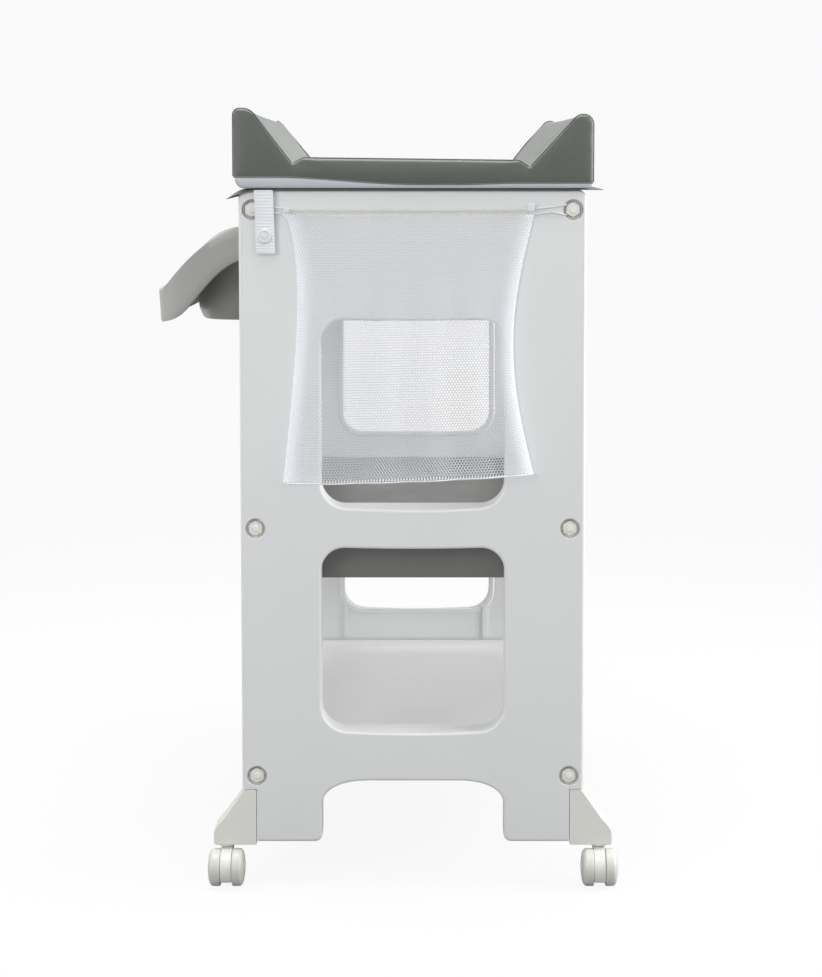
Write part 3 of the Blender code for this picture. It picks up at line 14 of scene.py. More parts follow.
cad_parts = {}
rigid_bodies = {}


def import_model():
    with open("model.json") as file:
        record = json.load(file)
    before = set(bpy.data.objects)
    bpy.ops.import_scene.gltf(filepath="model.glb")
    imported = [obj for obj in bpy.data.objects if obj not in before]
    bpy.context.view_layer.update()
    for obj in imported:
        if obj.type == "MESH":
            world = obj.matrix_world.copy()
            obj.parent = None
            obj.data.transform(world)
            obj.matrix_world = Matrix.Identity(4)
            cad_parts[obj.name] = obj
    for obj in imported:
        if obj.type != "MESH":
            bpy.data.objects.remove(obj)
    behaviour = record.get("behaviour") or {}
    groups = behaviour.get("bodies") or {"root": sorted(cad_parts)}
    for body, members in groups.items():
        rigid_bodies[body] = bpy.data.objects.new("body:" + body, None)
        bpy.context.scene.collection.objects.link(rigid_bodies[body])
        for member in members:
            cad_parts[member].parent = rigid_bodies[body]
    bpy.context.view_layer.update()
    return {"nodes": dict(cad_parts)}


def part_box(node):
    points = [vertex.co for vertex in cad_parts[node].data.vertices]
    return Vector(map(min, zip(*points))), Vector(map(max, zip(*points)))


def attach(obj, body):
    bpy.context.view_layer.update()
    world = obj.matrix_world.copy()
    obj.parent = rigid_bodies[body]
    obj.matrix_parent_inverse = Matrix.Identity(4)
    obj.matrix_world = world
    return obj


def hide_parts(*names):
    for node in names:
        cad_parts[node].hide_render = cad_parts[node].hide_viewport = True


for item in list(bpy.data.objects):
    bpy.data.objects.remove(item, do_unlink=True)
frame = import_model()
scene = bpy.context.scene

# Camera
# It stands where the photograph was taken from, a little right of the unit's middle and
# level with the mat, and looks slightly down. The lens shift only frames the picture.
near_low, near_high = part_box("near_end_panel")
far_low, far_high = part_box("far_end_panel")
MIDDLE = Vector(((near_low.x + near_high.x) / 2, (near_low.y + far_high.y) / 2, 0.0))
CAMERA_PLACE = Vector((0.025, -3.187, 1.005))
CAMERA_TILT = math.radians(4.5)
CAMERA_LENS = 77.38
CAMERA_SHIFT = (-0.0208, -0.181)


def add_object(name, data):
    made = bpy.data.objects.new(name, data)
    scene.collection.objects.link(made)
    return made


camera_data = bpy.data.cameras.new("camera")
camera_data.lens = CAMERA_LENS
camera_data.shift_x, camera_data.shift_y = CAMERA_SHIFT
camera = add_object("camera", camera_data)
camera.location = MIDDLE + CAMERA_PLACE
camera.rotation_euler = (math.pi / 2 - CAMERA_TILT, 0.0, 0.0)
scene.camera = camera

# End panels
# Two hollow panels, each blow moulded in one piece of white plastic, with two windows and
# an arch. The mould leaves a fine parting line round every edge and a faint grain.
PANEL_WIDTH = near_high.x - near_low.x
PANEL_BOTTOM = near_low.z
PANEL_TOP = near_high.z
PANEL_FACE = (far_high.y - near_low.y) / 2
PANEL_THICKNESS = 0.030
PANEL_TOP_RADIUS = 0.011
PANEL_EDGE_ROUND = 0.004
PANEL_BACK_ROUND = 0.0015
PARTING_LINE = 0.0006
ARCH_WIDTH = 0.247
ARCH_TOP = 0.1445
ARCH_CURVE = (0.066, 0.035)
ARCH_STEPS = 16
ARCH_FULLNESS = 0.86
FOOT_RADIUS = 0.010
NOTCH_WIDTH = 0.0190
NOTCH_TOP = 0.1328
NOTCH_RADIUS = 0.003
NOTCH_ROUND_SHARE = 0.15
NOTCH_BAND = 0.0012
WINDOW_WIDTH = 0.2475
WINDOW_RADIUS = 0.033
WINDOW_SAG = 0.0025
WINDOW_BOW = 0.0050
WINDOW_SPANS = ((0.2155, 0.466), (0.522, 0.775))
WINDOW_LIP_HEIGHT = 0.0015
WINDOW_LIP_WIDTH = 0.007
WINDOW_LIP_DRAFT = 0.002
BOLT_PLACES = ((0.212, 0.1517), (0.212, 0.4918), (0.214, 0.9211))
RECESS_RADIUS = 0.0135
RECESS_DEPTH = 0.008
RECESS_ROUND = 0.0006
BOLT_HOLE_RADIUS = 0.0045
PANEL_COLOUR = (0.80, 0.81, 0.815)
PANEL_ROUGHNESS = 0.42
SKIN_CLOUD_SCALE = 6.0
SKIN_WAVE_SCALE = 22.0
SKIN_WAVE_RELIEF = 1.5
SKIN_GLOSS_SWING = 0.14
ENDS = (("near", -1), ("far", 1))
HANDS = (("left", -1), ("right", 1))


def add_node(tree, kind, inputs=None, **settings):
    """Node with its settings, and its inputs given as values or as sockets."""
    made = tree.nodes.new(kind if kind.startswith("Geometry") else "ShaderNode" + kind)
    for name, value in settings.items():
        setattr(made, name, value)
    for name, value in (inputs or {}).items():
        if isinstance(value, bpy.types.NodeSocket):
            tree.links.new(value, made.inputs[name])
        else:
            made.inputs[name].default_value = value
    return made


def maths(tree, operation, *values):
    """Result of a maths node."""
    return add_node(tree, "Math", dict(enumerate(values)), operation=operation).outputs[0]


def start_group(name, inputs, outputs, tree_kind="ShaderNodeTree"):
    """Node group with named sockets, and what comes into it and goes out."""
    group = bpy.data.node_groups.new(name, tree_kind)
    for side, sockets in (("INPUT", inputs), ("OUTPUT", outputs)):
        for title, kind in sockets:
            group.interface.new_socket(title, in_out=side, socket_type="NodeSocket" + kind)
    return group, group.nodes.new("NodeGroupInput").outputs, group.nodes.new("NodeGroupOutput").inputs


def start_material(name, roughness):
    """Material with its tree and its shader."""
    material = bpy.data.materials.new(name)
    material.use_nodes = True
    shader = material.node_tree.nodes["Principled BSDF"]
    shader.inputs["Roughness"].default_value = roughness
    return material, material.node_tree, shader


def put_bump(tree, shader, height, strength, distance):
    bump = add_node(tree, "Bump", {"Height": height, "Strength": strength, "Distance": distance})
    tree.links.new(bump.outputs["Normal"], shader.inputs["Normal"])


def clouds(tree, given, scale, detail=2.0):
    return add_node(tree, "TexNoise", {"Vector": given["Vector"], "Scale": scale, "Detail": detail}).outputs[0]


def swing(tree, value, amount, middle):
    """Noise swung by an amount about a middle."""
    return maths(tree, "MULTIPLY_ADD", maths(tree, "SUBTRACT", value, 0.5), amount, middle)


def shade_colour(tree, given, result, shade):
    """The group's colour made lighter or darker."""
    tinted = add_node(tree, "VectorMath", {0: given["Colour"], "Scale": shade}, operation="SCALE")
    tree.links.new(tinted.outputs[0], result["Colour"])


def dressed(name, group, colour, roughness, inputs, strength, distance, own=None):
    """Material whose colour, roughness and relief a shader group gives, with plain values of its own."""
    material, tree, shader = start_material(name, roughness)
    for title, value in (own or {}).items():
        shader.inputs[title].default_value = value
    place = add_node(tree, "TexCoord").outputs["Object"]
    skin = add_node(tree, "Group", {"Vector": place, "Colour": (*colour, 1.0), **inputs}, node_tree=group)
    for title, socket in (("Colour", "Base Color"), ("Roughness", "Roughness")):
        if title in skin.outputs:
            tree.links.new(skin.outputs[title], shader.inputs[socket])
    put_bump(tree, shader, skin.outputs["Height"], strength, distance)
    return material


tree, given, result = start_group(
    "moulded_skin",
    [("Vector", "Vector"), ("Colour", "Color"), ("Grain", "Float"), ("Clouding", "Float"),
     ("Roughness", "Float")],
    [("Colour", "Color"), ("Roughness", "Float"), ("Height", "Float")])
MOULDED_SKIN = tree
cloud = clouds(tree, given, SKIN_CLOUD_SCALE, 3.0)
shade_colour(tree, given, result, swing(tree, cloud, given["Clouding"], 1.0))
waves = clouds(tree, given, SKIN_WAVE_SCALE, 1.0)
tree.links.new(swing(tree, waves, SKIN_GLOSS_SWING, given["Roughness"]), result["Roughness"])
grain = clouds(tree, given, given["Grain"])
tree.links.new(maths(tree, "MULTIPLY_ADD", waves, SKIN_WAVE_RELIEF, grain), result["Height"])


def moulded(name, colour, roughness, grain=1400.0, clouding=0.05, strength=0.10, distance=0.0003, own=None):
    """Moulded plastic with a fine grain, faint waves and a little unevenness in its colour."""
    inputs = {"Grain": grain, "Clouding": clouding, "Roughness": roughness}
    return dressed(name, MOULDED_SKIN, colour, roughness, inputs, strength, distance, own)


def rounded(corners, steps=8):
    """Outline through corners of (x, y, radius), with an arc at each."""
    points = []
    for i, (x, y, radius) in enumerate(corners):
        here = Vector((x, y))
        came = (here - Vector(corners[i - 1][:2])).normalized()
        goes = (Vector(corners[(i + 1) % len(corners)][:2]) - here).normalized()
        turn = math.atan2(came.cross(goes), came.dot(goes))
        if radius == 0:
            points.append(here)
            continue
        start = here - came * radius * math.tan(abs(turn) / 2)
        spoke = Vector((came.y, -came.x)) * math.copysign(radius, turn)
        for step in range(steps + 1):
            points.append(start - spoke + Matrix.Rotation(turn * step / steps, 2) @ spoke)
    return points


def inset(outline, distance):
    """The closed outline moved to its left."""
    moved = []
    for i, here in enumerate(outline):
        came = (here - outline[i - 1]).normalized()
        goes = (outline[(i + 1) % len(outline)] - here).normalized()
        side = Vector((-came.y - goes.y, came.x + goes.x)).normalized()
        moved.append(here + side * distance / max(side.dot(Vector((-goes.y, goes.x))), 0.2))
    return moved


def round_over(radius, height=0.0, steps=5):
    """Edge profile from an upper face down into a side, as (inset, height)."""
    angles = [math.pi / 2 * i / steps for i in range(steps + 1)]
    return [(radius * (1 - math.sin(a)), height - radius * (1 - math.cos(a))) for a in angles]


def round_under(radius, height, steps=3):
    """Edge profile from a side round into a lower face, as (inset, height)."""
    turned = reversed(round_over(radius, height + radius, steps))
    return [(step, 2 * height + radius - level) for step, level in turned]


def circle(radius, steps, centre=(0.0, 0.0)):
    turns = [2 * math.pi * i / steps for i in range(steps)]
    return [Vector((centre[0] + radius * math.cos(a), centre[1] + radius * math.sin(a))) for a in turns]


def add_ring(bm, points):
    return [bm.verts.new(point) for point in points]


def skin_rings(bm, rings, capped=True):
    """Faces through closed rings with as many points each, and over both ends if they are capped."""
    for first, second in zip(rings, rings[1:]):
        for i in range(len(first)):
            j = (i + 1) % len(first)
            bm.faces.new((first[i], first[j], second[j], second[i]))
    if capped:
        bm.faces.new(rings[0])
        bm.faces.new(rings[-1])


def add_block(bm, size, place):
    block = bmesh.ops.create_cube(bm, size=1.0)["verts"]
    bmesh.ops.scale(bm, verts=block, vec=size)
    bmesh.ops.translate(bm, verts=block, vec=place)


def add_peg(bm, segments, radius, depth, place, top_radius=None):
    """Upright peg about a place, which narrows to its top radius if it has one."""
    peg = bmesh.ops.create_cone(bm, cap_ends=True, segments=segments, radius1=radius,
                                radius2=top_radius or radius, depth=depth)
    bmesh.ops.translate(bm, verts=peg["verts"], vec=place)


def round_edges(bm, offset, segments, clamped=False):
    bmesh.ops.bevel(bm, geom=list(bm.edges), offset=offset, segments=segments, affect="EDGES",
                    clamp_overlap=clamped)


def fill_between(bm, rings):
    """Flat face with holes between the given rings."""
    pairs = [(ring[i], ring[(i + 1) % len(ring)]) for ring in rings for i in range(len(ring))]
    bmesh.ops.triangle_fill(bm, use_beauty=True, edges=[bm.edges.get(pair) for pair in pairs])


def mesh_of(name, bm, sharp=35.0):
    """Smoothly shaded mesh that stays sharp over an angle in degrees."""
    mesh = bpy.data.meshes.new(name)
    bm.to_mesh(mesh)
    bm.free()
    mesh.shade_smooth()
    mesh.set_sharp_from_angle(angle=math.radians(sharp))
    return mesh


def put_in(name, mesh, body="frame", stands_for=()):
    """Object of a finished mesh, riding on a body, in the place of frame nodes."""
    piece = add_object(name, mesh)
    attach(piece, body)
    if stands_for:
        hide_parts(*stands_for)
    return piece


def add_piece(name, bm, material, body="frame", stands_for=(), sharp=35.0, placed=False):
    """Piece of a mesh built about the unit's middle line, or already placed."""
    bmesh.ops.recalc_face_normals(bm, faces=bm.faces)
    if not placed:
        bm.transform(Matrix.Translation(MIDDLE))
    mesh = mesh_of(name, bm, sharp)
    mesh.materials.append(material)
    return put_in(name, mesh, body, stands_for)


def weigh_normals(piece):
    """Flat faces keep flat beside their rounded edges."""
    modifier = piece.modifiers.new("even_faces", "WEIGHTED_NORMAL")
    modifier.keep_sharp = True


def panel_outline():
    """Contour of an end panel, anticlockwise, with its arch and its two notches."""
    half = PANEL_WIDTH / 2
    arch = ARCH_WIDTH / 2
    notch = half - NOTCH_WIDTH
    right = [(arch, PANEL_BOTTOM, FOOT_RADIUS), (notch, PANEL_BOTTOM, NOTCH_RADIUS), (notch, NOTCH_TOP, 0),
             (half, NOTCH_TOP, NOTCH_RADIUS), (half, PANEL_TOP, PANEL_TOP_RADIUS)]
    left = [(-x, y, radius) for x, y, radius in reversed(right)]
    wide, high = ARCH_CURVE
    bends = [math.pi * (1 - i / (2 * ARCH_STEPS)) for i in range(2 * ARCH_STEPS + 1)]
    arch_line = []
    for a in bends:
        out = math.copysign(arch - wide + wide * abs(math.cos(a)) ** ARCH_FULLNESS, math.cos(a) - 1e-9)
        arch_line.append((out, ARCH_TOP - high + high * abs(math.sin(a)) ** ARCH_FULLNESS, 0))
    return rounded(right + left + arch_line)


def panel_inset(distance):
    """Contour moved inwards, but hardly where it meets a bracket foot, so that seam is tight."""
    outline = panel_outline()
    edge_x = PANEL_WIDTH / 2 - NOTCH_WIDTH - NOTCH_BAND
    beside = [abs(p.x) > edge_x and p.y < NOTCH_TOP + NOTCH_BAND for p in outline]
    return [here.lerp(there, NOTCH_ROUND_SHARE) if tight else there
            for here, there, tight in zip(outline, inset(outline, distance), beside)]


def window_outline(bottom, top, bow_down, sag, steps=16):
    """Window, clockwise, with its lower edge bowed down and its upper edge sagging."""
    half = WINDOW_WIDTH / 2
    flat = half - WINDOW_RADIUS
    level = [(flat * (2 * i / steps - 1), bottom, 0) for i in range(1, steps)]
    outline = rounded([(-half, bottom, WINDOW_RADIUS)] + level + [(half, bottom, WINDOW_RADIUS),
                      (half, top, WINDOW_RADIUS)] + [(-x, top, 0) for x, _, _ in level]
                      + [(-half, top, WINDOW_RADIUS)], steps)
    middle = (bottom + top) / 2
    for point in outline:
        bow = max(1 - (point.x / half) ** 2, 0.0)
        point.y -= bow * (bow_down if point.y < middle else sag)
    return list(reversed(outline))


def panel_edges():
    """Edges of a panel from its outer face to its inner one, each as rings of (outline, height)."""
    back = -PANEL_THICKNESS
    seam = [(0, back / 2 + PARTING_LINE), (-PARTING_LINE / 2, back / 2), (0, back / 2 - PARTING_LINE)]
    side = round_over(PANEL_EDGE_ROUND) + seam + round_under(PANEL_BACK_ROUND, back)
    edges = [[(panel_inset(step), height) for step, height in side]]
    lip = back - WINDOW_LIP_HEIGHT
    for span in WINDOW_SPANS:
        outer = window_outline(*span, WINDOW_BOW, WINDOW_SAG)
        inner = window_outline(*span, 0.0, 0.0)
        half_way = [point.lerp(other, 0.5) for point, other in zip(outer, inner)]
        rings = [(inset(outer, step), height) for step, height in round_over(PANEL_EDGE_ROUND)]
        rings += [(inset(half_way, step), height) for step, height in seam]
        rings += [(inset(inner, step), height) for step, height in round_under(PANEL_BACK_ROUND, lip)]
        rings += [(inset(inner, WINDOW_LIP_WIDTH), lip),
                  (inset(inner, WINDOW_LIP_WIDTH + WINDOW_LIP_DRAFT), back)]
        edges.append(rings)
    bore = BOLT_HOLE_RADIUS - RECESS_RADIUS
    floor = -RECESS_DEPTH
    seat = round_over(RECESS_ROUND, 0.0, 3)
    seat += [(0, floor + RECESS_ROUND), (-RECESS_ROUND, floor), (bore, floor), (bore, back)]
    for reach, level in BOLT_PLACES:
        for side in (-1, 1):
            hole = list(reversed(circle(RECESS_RADIUS, 48, (side * reach, level))))
            edges.append([(inset(hole, step), height) for step, height in seat])
    return edges


white_plastic = moulded("white_plastic", PANEL_COLOUR, PANEL_ROUGHNESS)
for end, turn in (("near", 0.0), ("far", math.pi)):
    bm = bmesh.new()
    faces = [[], []]
    for edge in panel_edges():
        rings = [add_ring(bm, [(p.x, p.y, height) for p in outline]) for outline, height in edge]
        skin_rings(bm, rings, capped=False)
        faces[0].append(rings[0])
        faces[1].append(rings[-1])
    for rings in faces:
        fill_between(bm, rings)
    bm.transform(Matrix.Rotation(turn, 4, "Z") @ Matrix.Translation((0.0, -PANEL_FACE, 0.0))
                 @ Matrix.Rotation(math.pi / 2, 4, "X"))
    panel = add_piece(end + "_panel_moulding", bm, white_plastic, "frame", [end + "_end_panel"])
    weigh_normals(panel)

# Panel ribs
# Two short shallow ribs stand on each panel's inner face, at the lower corners of its lower
# window. They are moulded with the panel.
RIB_SPANS = ((-0.126, -0.114), (0.110, 0.123))
RIB_LEVELS = (0.166, 0.223)
RIB_HEIGHT = 0.0030
RIB_ROUND_SHARE = 0.9

bm = bmesh.new()
for along in (-1, 1):
    for start, stop in RIB_SPANS:
        size = (stop - start, 2 * RIB_HEIGHT, RIB_LEVELS[1] - RIB_LEVELS[0])
        face = along * (PANEL_FACE - PANEL_THICKNESS)
        add_block(bm, size, ((start + stop) / 2, face, sum(RIB_LEVELS) / 2))
round_edges(bm, RIB_HEIGHT * RIB_ROUND_SHARE, 4)
weigh_normals(add_piece("panel_ribs", bm, white_plastic))

# Panel bolts
# Nylon bolts with a hexagon head and a raised inner hexagon, sunk in round recesses.
# Six hold each panel to the bath and to the shelves.
HEAD_FLATS = 0.018
HEAD_HEIGHT = 0.006
HEAD_ROUND = 0.0009
CAP_SHARE = 0.62
CAP_TOP_SHARE = 0.50
CAP_HEIGHT = 0.0016
SHANK_RADIUS = 0.004
SHANK_LENGTH = 0.046
SEAT_GAP = 0.0003
BOLT_COLOUR = (0.88, 0.88, 0.81)


def harvest(carrier):
    """Mesh that a carrier shows through its modifiers. The carrier is then removed."""
    graph = bpy.context.evaluated_depsgraph_get()
    mesh = bpy.data.meshes.new_from_object(carrier.evaluated_get(graph))
    bpy.data.objects.remove(carrier, do_unlink=True)
    return mesh


def add_points(name, places):
    """Object of loose points, each a place about the unit's middle line and a turn."""
    mesh = bpy.data.meshes.new(name)
    mesh.from_pydata([MIDDLE + Vector(place) for place, _ in places], [], [])
    turns = mesh.attributes.new("turn", "FLOAT_VECTOR", "POINT")
    for item, (_, turn) in zip(turns.data, places):
        item.vector = turn
    return add_object(name, mesh)


tree, given, result = start_group(
    "set_on_points", [("Geometry", "Geometry"), ("Piece", "Object"), ("Finish", "Material")],
    [("Geometry", "Geometry")], "GeometryNodeTree")
shown = add_node(tree, "GeometryNodeObjectInfo", {"Object": given["Piece"]}).outputs["Geometry"]
turned = add_node(tree, "GeometryNodeInputNamedAttribute", {"Name": "turn"}, data_type="FLOAT_VECTOR")
spread = add_node(tree, "GeometryNodeInstanceOnPoints", {"Points": given["Geometry"], "Instance": shown,
                                                         "Rotation": turned.outputs["Attribute"]})
real = add_node(tree, "GeometryNodeRealizeInstances", {"Geometry": spread.outputs["Instances"]}).outputs[0]
painted = add_node(tree, "GeometryNodeSetMaterial", {"Geometry": real, "Material": given["Finish"]}).outputs[0]
tree.links.new(painted, result["Geometry"])

bolt_nylon = moulded("bolt_nylon", BOLT_COLOUR, 0.38, grain=2200.0, clouding=0.10)
corner = HEAD_FLATS / math.sqrt(3)
bm = bmesh.new()
add_peg(bm, 6, corner, HEAD_HEIGHT, (0.0, 0.0, HEAD_HEIGHT / 2))
cap_place = (0.0, 0.0, HEAD_HEIGHT + CAP_HEIGHT / 2)
add_peg(bm, 6, corner * CAP_SHARE, CAP_HEIGHT, cap_place, corner * CAP_TOP_SHARE)
round_edges(bm, HEAD_ROUND, 3, clamped=True)
add_peg(bm, 24, SHANK_RADIUS, SHANK_LENGTH, (0.0, 0.0, HEAD_ROUND - SHANK_LENGTH / 2))
bolt = add_object("bolt", mesh_of("bolt", bm))
bolt_spots = []
bolt_nodes = []
for end, along in ENDS:
    for level, (reach, height) in zip(("bottom", "middle", "top"), BOLT_PLACES):
        for hand, across in HANDS:
            seat = along * (PANEL_FACE - RECESS_DEPTH + SEAT_GAP)
            bolt_spots.append(((across * reach, seat, height), (-along * math.pi / 2, 0.0, 0.0)))
            bolt_nodes.append(f"{end}_{level}_{hand}_bolt")
carrier = add_points("bolt_spots", bolt_spots)
modifier = carrier.modifiers.new("panel_bolts", "NODES")
modifier.node_group = tree
values = {"Piece": bolt, "Finish": bolt_nylon}
for socket in tree.interface.items_tree:
    if socket.name in values:
        modifier[socket.identifier] = values[socket.name]
put_in("panel_bolts", harvest(carrier), stands_for=bolt_nodes)
bpy.data.objects.remove(bolt, do_unlink=True)

# Bracket feet and their screws
# Moulded nylon feet fill the panels' lower corners and lean out over the castors. A tongue
# behind the panel takes one zinc-plated screw each.
BRACKET_REACH = 0.2715
BRACKET_TOP = 0.1325
BRACKET_BOTTOM = 0.0555
BRACKET_SLOPE = (0.031, 0.042)
BRACKET_NOSE = 0.024
BRACKET_CORNER = 0.003
BRACKET_EDGE = 0.002
BRACKET_THICKNESS = 0.0337
TONGUE_SIZE = (0.068, 0.0032, 0.046)
TONGUE_ROOT = 0.012
TONGUE_LEVEL = 0.089
CASTOR_REACH = 0.254
CASTOR_SEAT_RADIUS = 0.0155
CASTOR_SEAT_HEIGHT = 0.0036
BRACKET_COLOUR = (0.80, 0.805, 0.76)
ZINC_COLOUR = (0.62, 0.63, 0.64)
FACET_MERGE = 0.00001
FACET_ANGLE = math.radians(1.0)
FORM_SHARP = 40.0


def soften(node, material, body):
    """Copy of a frame node with its facets merged, so that its round faces are smooth."""
    bm = bmesh.new()
    bm.from_mesh(frame["nodes"][node].data)
    bmesh.ops.remove_doubles(bm, verts=bm.verts, dist=FACET_MERGE)
    bmesh.ops.dissolve_limit(bm, angle_limit=FACET_ANGLE, verts=bm.verts, edges=bm.edges)
    weigh_normals(add_piece(node + "_form", bm, material, body, [node], FORM_SHARP, placed=True))


foot_nylon = moulded("foot_nylon", BRACKET_COLOUR, 0.40, grain=1800.0)
zinc = moulded("zinc_plate", ZINC_COLOUR, 0.32, grain=3000.0, clouding=0.3, strength=0.05,
               distance=0.0002, own={"Metallic": 1.0})
CORNERS = [(f"{end}_{hand}", across, along) for end, along in ENDS for hand, across in HANDS]
for name, across, along in CORNERS:
    soften(name + "_bracket_screw", zinc, "frame")
    inner = PANEL_WIDTH / 2 - NOTCH_WIDTH + SEAT_GAP
    shoulder = PANEL_WIDTH / 2 - BRACKET_CORNER
    outline = rounded([
        (inner, BRACKET_BOTTOM, BRACKET_CORNER / 2), (BRACKET_REACH, BRACKET_BOTTOM, BRACKET_CORNER),
        (BRACKET_REACH, BRACKET_TOP - BRACKET_SLOPE[1] - BRACKET_NOSE / 2, BRACKET_NOSE),
        (shoulder + BRACKET_SLOPE[0], BRACKET_TOP - BRACKET_SLOPE[1], 2 * BRACKET_NOSE),
        (shoulder, BRACKET_TOP, BRACKET_CORNER / 2), (inner, BRACKET_TOP, BRACKET_CORNER / 2)])
    seamed = [p.x < inner + BRACKET_CORNER / 2 or p.y > BRACKET_TOP - BRACKET_CORNER / 2 for p in outline]
    bm = bmesh.new()
    rings = []
    for step, height in round_over(BRACKET_EDGE) + round_under(PANEL_BACK_ROUND, -BRACKET_THICKNESS):
        eased = [here.lerp(there, NOTCH_ROUND_SHARE) if tight else there
                 for here, there, tight in zip(outline, inset(outline, step), seamed)]
        rings.append(add_ring(bm, [(across * p.x, along * (PANEL_FACE + height), p.y) for p in eased]))
    skin_rings(bm, rings)
    tongue_face = PANEL_FACE - PANEL_THICKNESS - SEAT_GAP - TONGUE_SIZE[1] / 2
    tongue_place = (across * (inner + TONGUE_ROOT - TONGUE_SIZE[0] / 2), along * tongue_face, TONGUE_LEVEL)
    add_block(bm, TONGUE_SIZE, tongue_place)
    seat_place = (across * CASTOR_REACH, along * (PANEL_FACE - BRACKET_THICKNESS / 2), BRACKET_BOTTOM)
    add_peg(bm, 48, CASTOR_SEAT_RADIUS, CASTOR_SEAT_HEIGHT, seat_place)
    weigh_normals(add_piece(name + "_bracket_foot", bm, foot_nylon, "frame", [name + "_bracket"]))

# Castors
# Twin-wheel castors in the same nylon. The housing stands between the wheels with a steel
# swivel stem, and the wheels turn on a plain axle.
WHEEL_RADIUS = 0.025
WHEEL_WIDTH = 0.017
WHEEL_EDGE = 0.0015
WHEEL_DOME = 0.0075
HUB_RADIUS = 0.010
HUB_GROOVE = 0.0007
BORE_RADIUS = 0.0033
BORE_DEPTH = 0.012
AXIS_RADIUS = 0.0004
DOME_SHAPE = 0.8
WHEEL_STEPS = 72
HOOD_RADIUS = 0.0238
HOOD_WIDTH = 0.0155
HOOD_BOTTOM = 0.0090
HOOD_TOP = 0.0532
HOOD_NECK = 0.0095
HOOD_EDGE = 0.0012
HOOD_EDGE_SHARE = 0.3
HOOD_PULL_SHARE = 0.5
CASTOR_TRAIL = 0.017
STEM_RADIUS = 0.0042
WHEEL_COLOUR = (0.68, 0.685, 0.64)


def wheel_profile():
    """Profile of a wheel as (radius, place outwards), from its bore round to its domed face."""
    profile = [(AXIS_RADIUS, BORE_DEPTH), (BORE_RADIUS, BORE_DEPTH), (BORE_RADIUS, 0.0),
               (WHEEL_RADIUS - WHEEL_EDGE, 0.0)]
    for i in range(1, 4):
        angle = math.pi / 2 * i / 3
        profile.append((WHEEL_RADIUS - WHEEL_EDGE * (1 - math.sin(angle)), WHEEL_EDGE * (1 - math.cos(angle))))
    shoulder = WHEEL_WIDTH - WHEEL_DOME
    for i in range(9):
        angle = math.pi / 2 * i / 8
        profile.append((HUB_RADIUS + (WHEEL_RADIUS - HUB_RADIUS) * math.cos(angle) ** DOME_SHAPE,
                        shoulder + (WHEEL_DOME - HUB_GROOVE) * math.sin(angle)))
    profile += [(HUB_RADIUS - HUB_GROOVE, WHEEL_WIDTH - 2 * HUB_GROOVE),
                (HUB_RADIUS - 2 * HUB_GROOVE, WHEEL_WIDTH),
                (HUB_RADIUS / 2, WHEEL_WIDTH), (HUB_RADIUS / 2 - HUB_GROOVE, WHEEL_WIDTH - HUB_GROOVE),
                (AXIS_RADIUS, WHEEL_WIDTH - HUB_GROOVE)]
    return profile


wheel_nylon = moulded("wheel_nylon", WHEEL_COLOUR, 0.36, grain=1500.0, clouding=0.06)
for name, across, along in CORNERS:
    pivot = Vector((across * CASTOR_REACH, along * (PANEL_FACE - BRACKET_THICKNESS / 2), 0.0))
    outline = []
    for p in circle(HOOD_RADIUS, WHEEL_STEPS, (-CASTOR_TRAIL, WHEEL_RADIUS)):
        outline.append(Vector((p.x, max(p.y, HOOD_BOTTOM))))
        if p.x > -HOOD_NECK and p.y > WHEEL_RADIUS:
            outline[-1] = Vector((min(HOOD_NECK, p.x + HOOD_NECK * HOOD_PULL_SHARE), p.y))
    top = max(range(len(outline)), key=lambda i: outline[i].y)
    outline = outline[:1] + [Vector((HOOD_NECK, WHEEL_RADIUS + HOOD_NECK)), Vector((HOOD_NECK, HOOD_TOP)),
                             Vector((-HOOD_NECK, HOOD_TOP))] + outline[top:]
    half = HOOD_WIDTH / 2
    ease = HOOD_EDGE * HOOD_EDGE_SHARE
    side = [(HOOD_EDGE, half), (ease, half - ease), (0, half - HOOD_EDGE)]
    side += [(step, -out) for step, out in reversed(side)]
    bm = bmesh.new()
    skin_rings(bm, [add_ring(bm, [pivot + Vector((out, p.x, p.y)) for p in inset(outline, step)])
                    for step, out in side])
    add_peg(bm, 32, STEM_RADIUS, 2 * STEM_RADIUS, pivot + Vector((0.0, 0.0, HOOD_TOP)))
    housing = [name + "_castor_housing"]
    weigh_normals(add_piece(name + "_castor_hood", bm, foot_nylon, name + "_castor", housing))
    soften(name + "_castor_axle", zinc, name + "_castor")
    for position, outward in (("outer", across), ("inner", -across)):
        node = f"{name}_{position}_wheel"
        low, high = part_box(node)
        face = low.x if outward > 0 else high.x
        hub = Vector((face, (low.y + high.y) / 2, (low.z + high.z) / 2))
        bm = bmesh.new()
        turned = [[hub + Vector((outward * out, p.x, p.y)) for p in circle(radius, WHEEL_STEPS)]
                  for radius, out in wheel_profile()]
        skin_rings(bm, [add_ring(bm, points) for points in turned])
        weigh_normals(add_piece(node + "_turned", bm, wheel_nylon, node, [node], 30.0, placed=True))

# Shelves
# The middle shelf is a deep grey moulding with skirts, and the lower one a white tray between
# two hollow beams. Both are bolted between the panels at round pads.
GREY_COLOUR = (0.165, 0.168, 0.158)
SHELF_COLOUR = (0.80, 0.80, 0.795)

grey_plastic = moulded("grey_plastic", GREY_COLOUR, 0.40, grain=1100.0, clouding=0.10, strength=0.12)
shelf_plastic = moulded("shelf_plastic", SHELF_COLOUR, 0.45, grain=1200.0)
soften("middle_shelf", grey_plastic, "frame")
soften("lower_shelf", shelf_plastic, "frame")

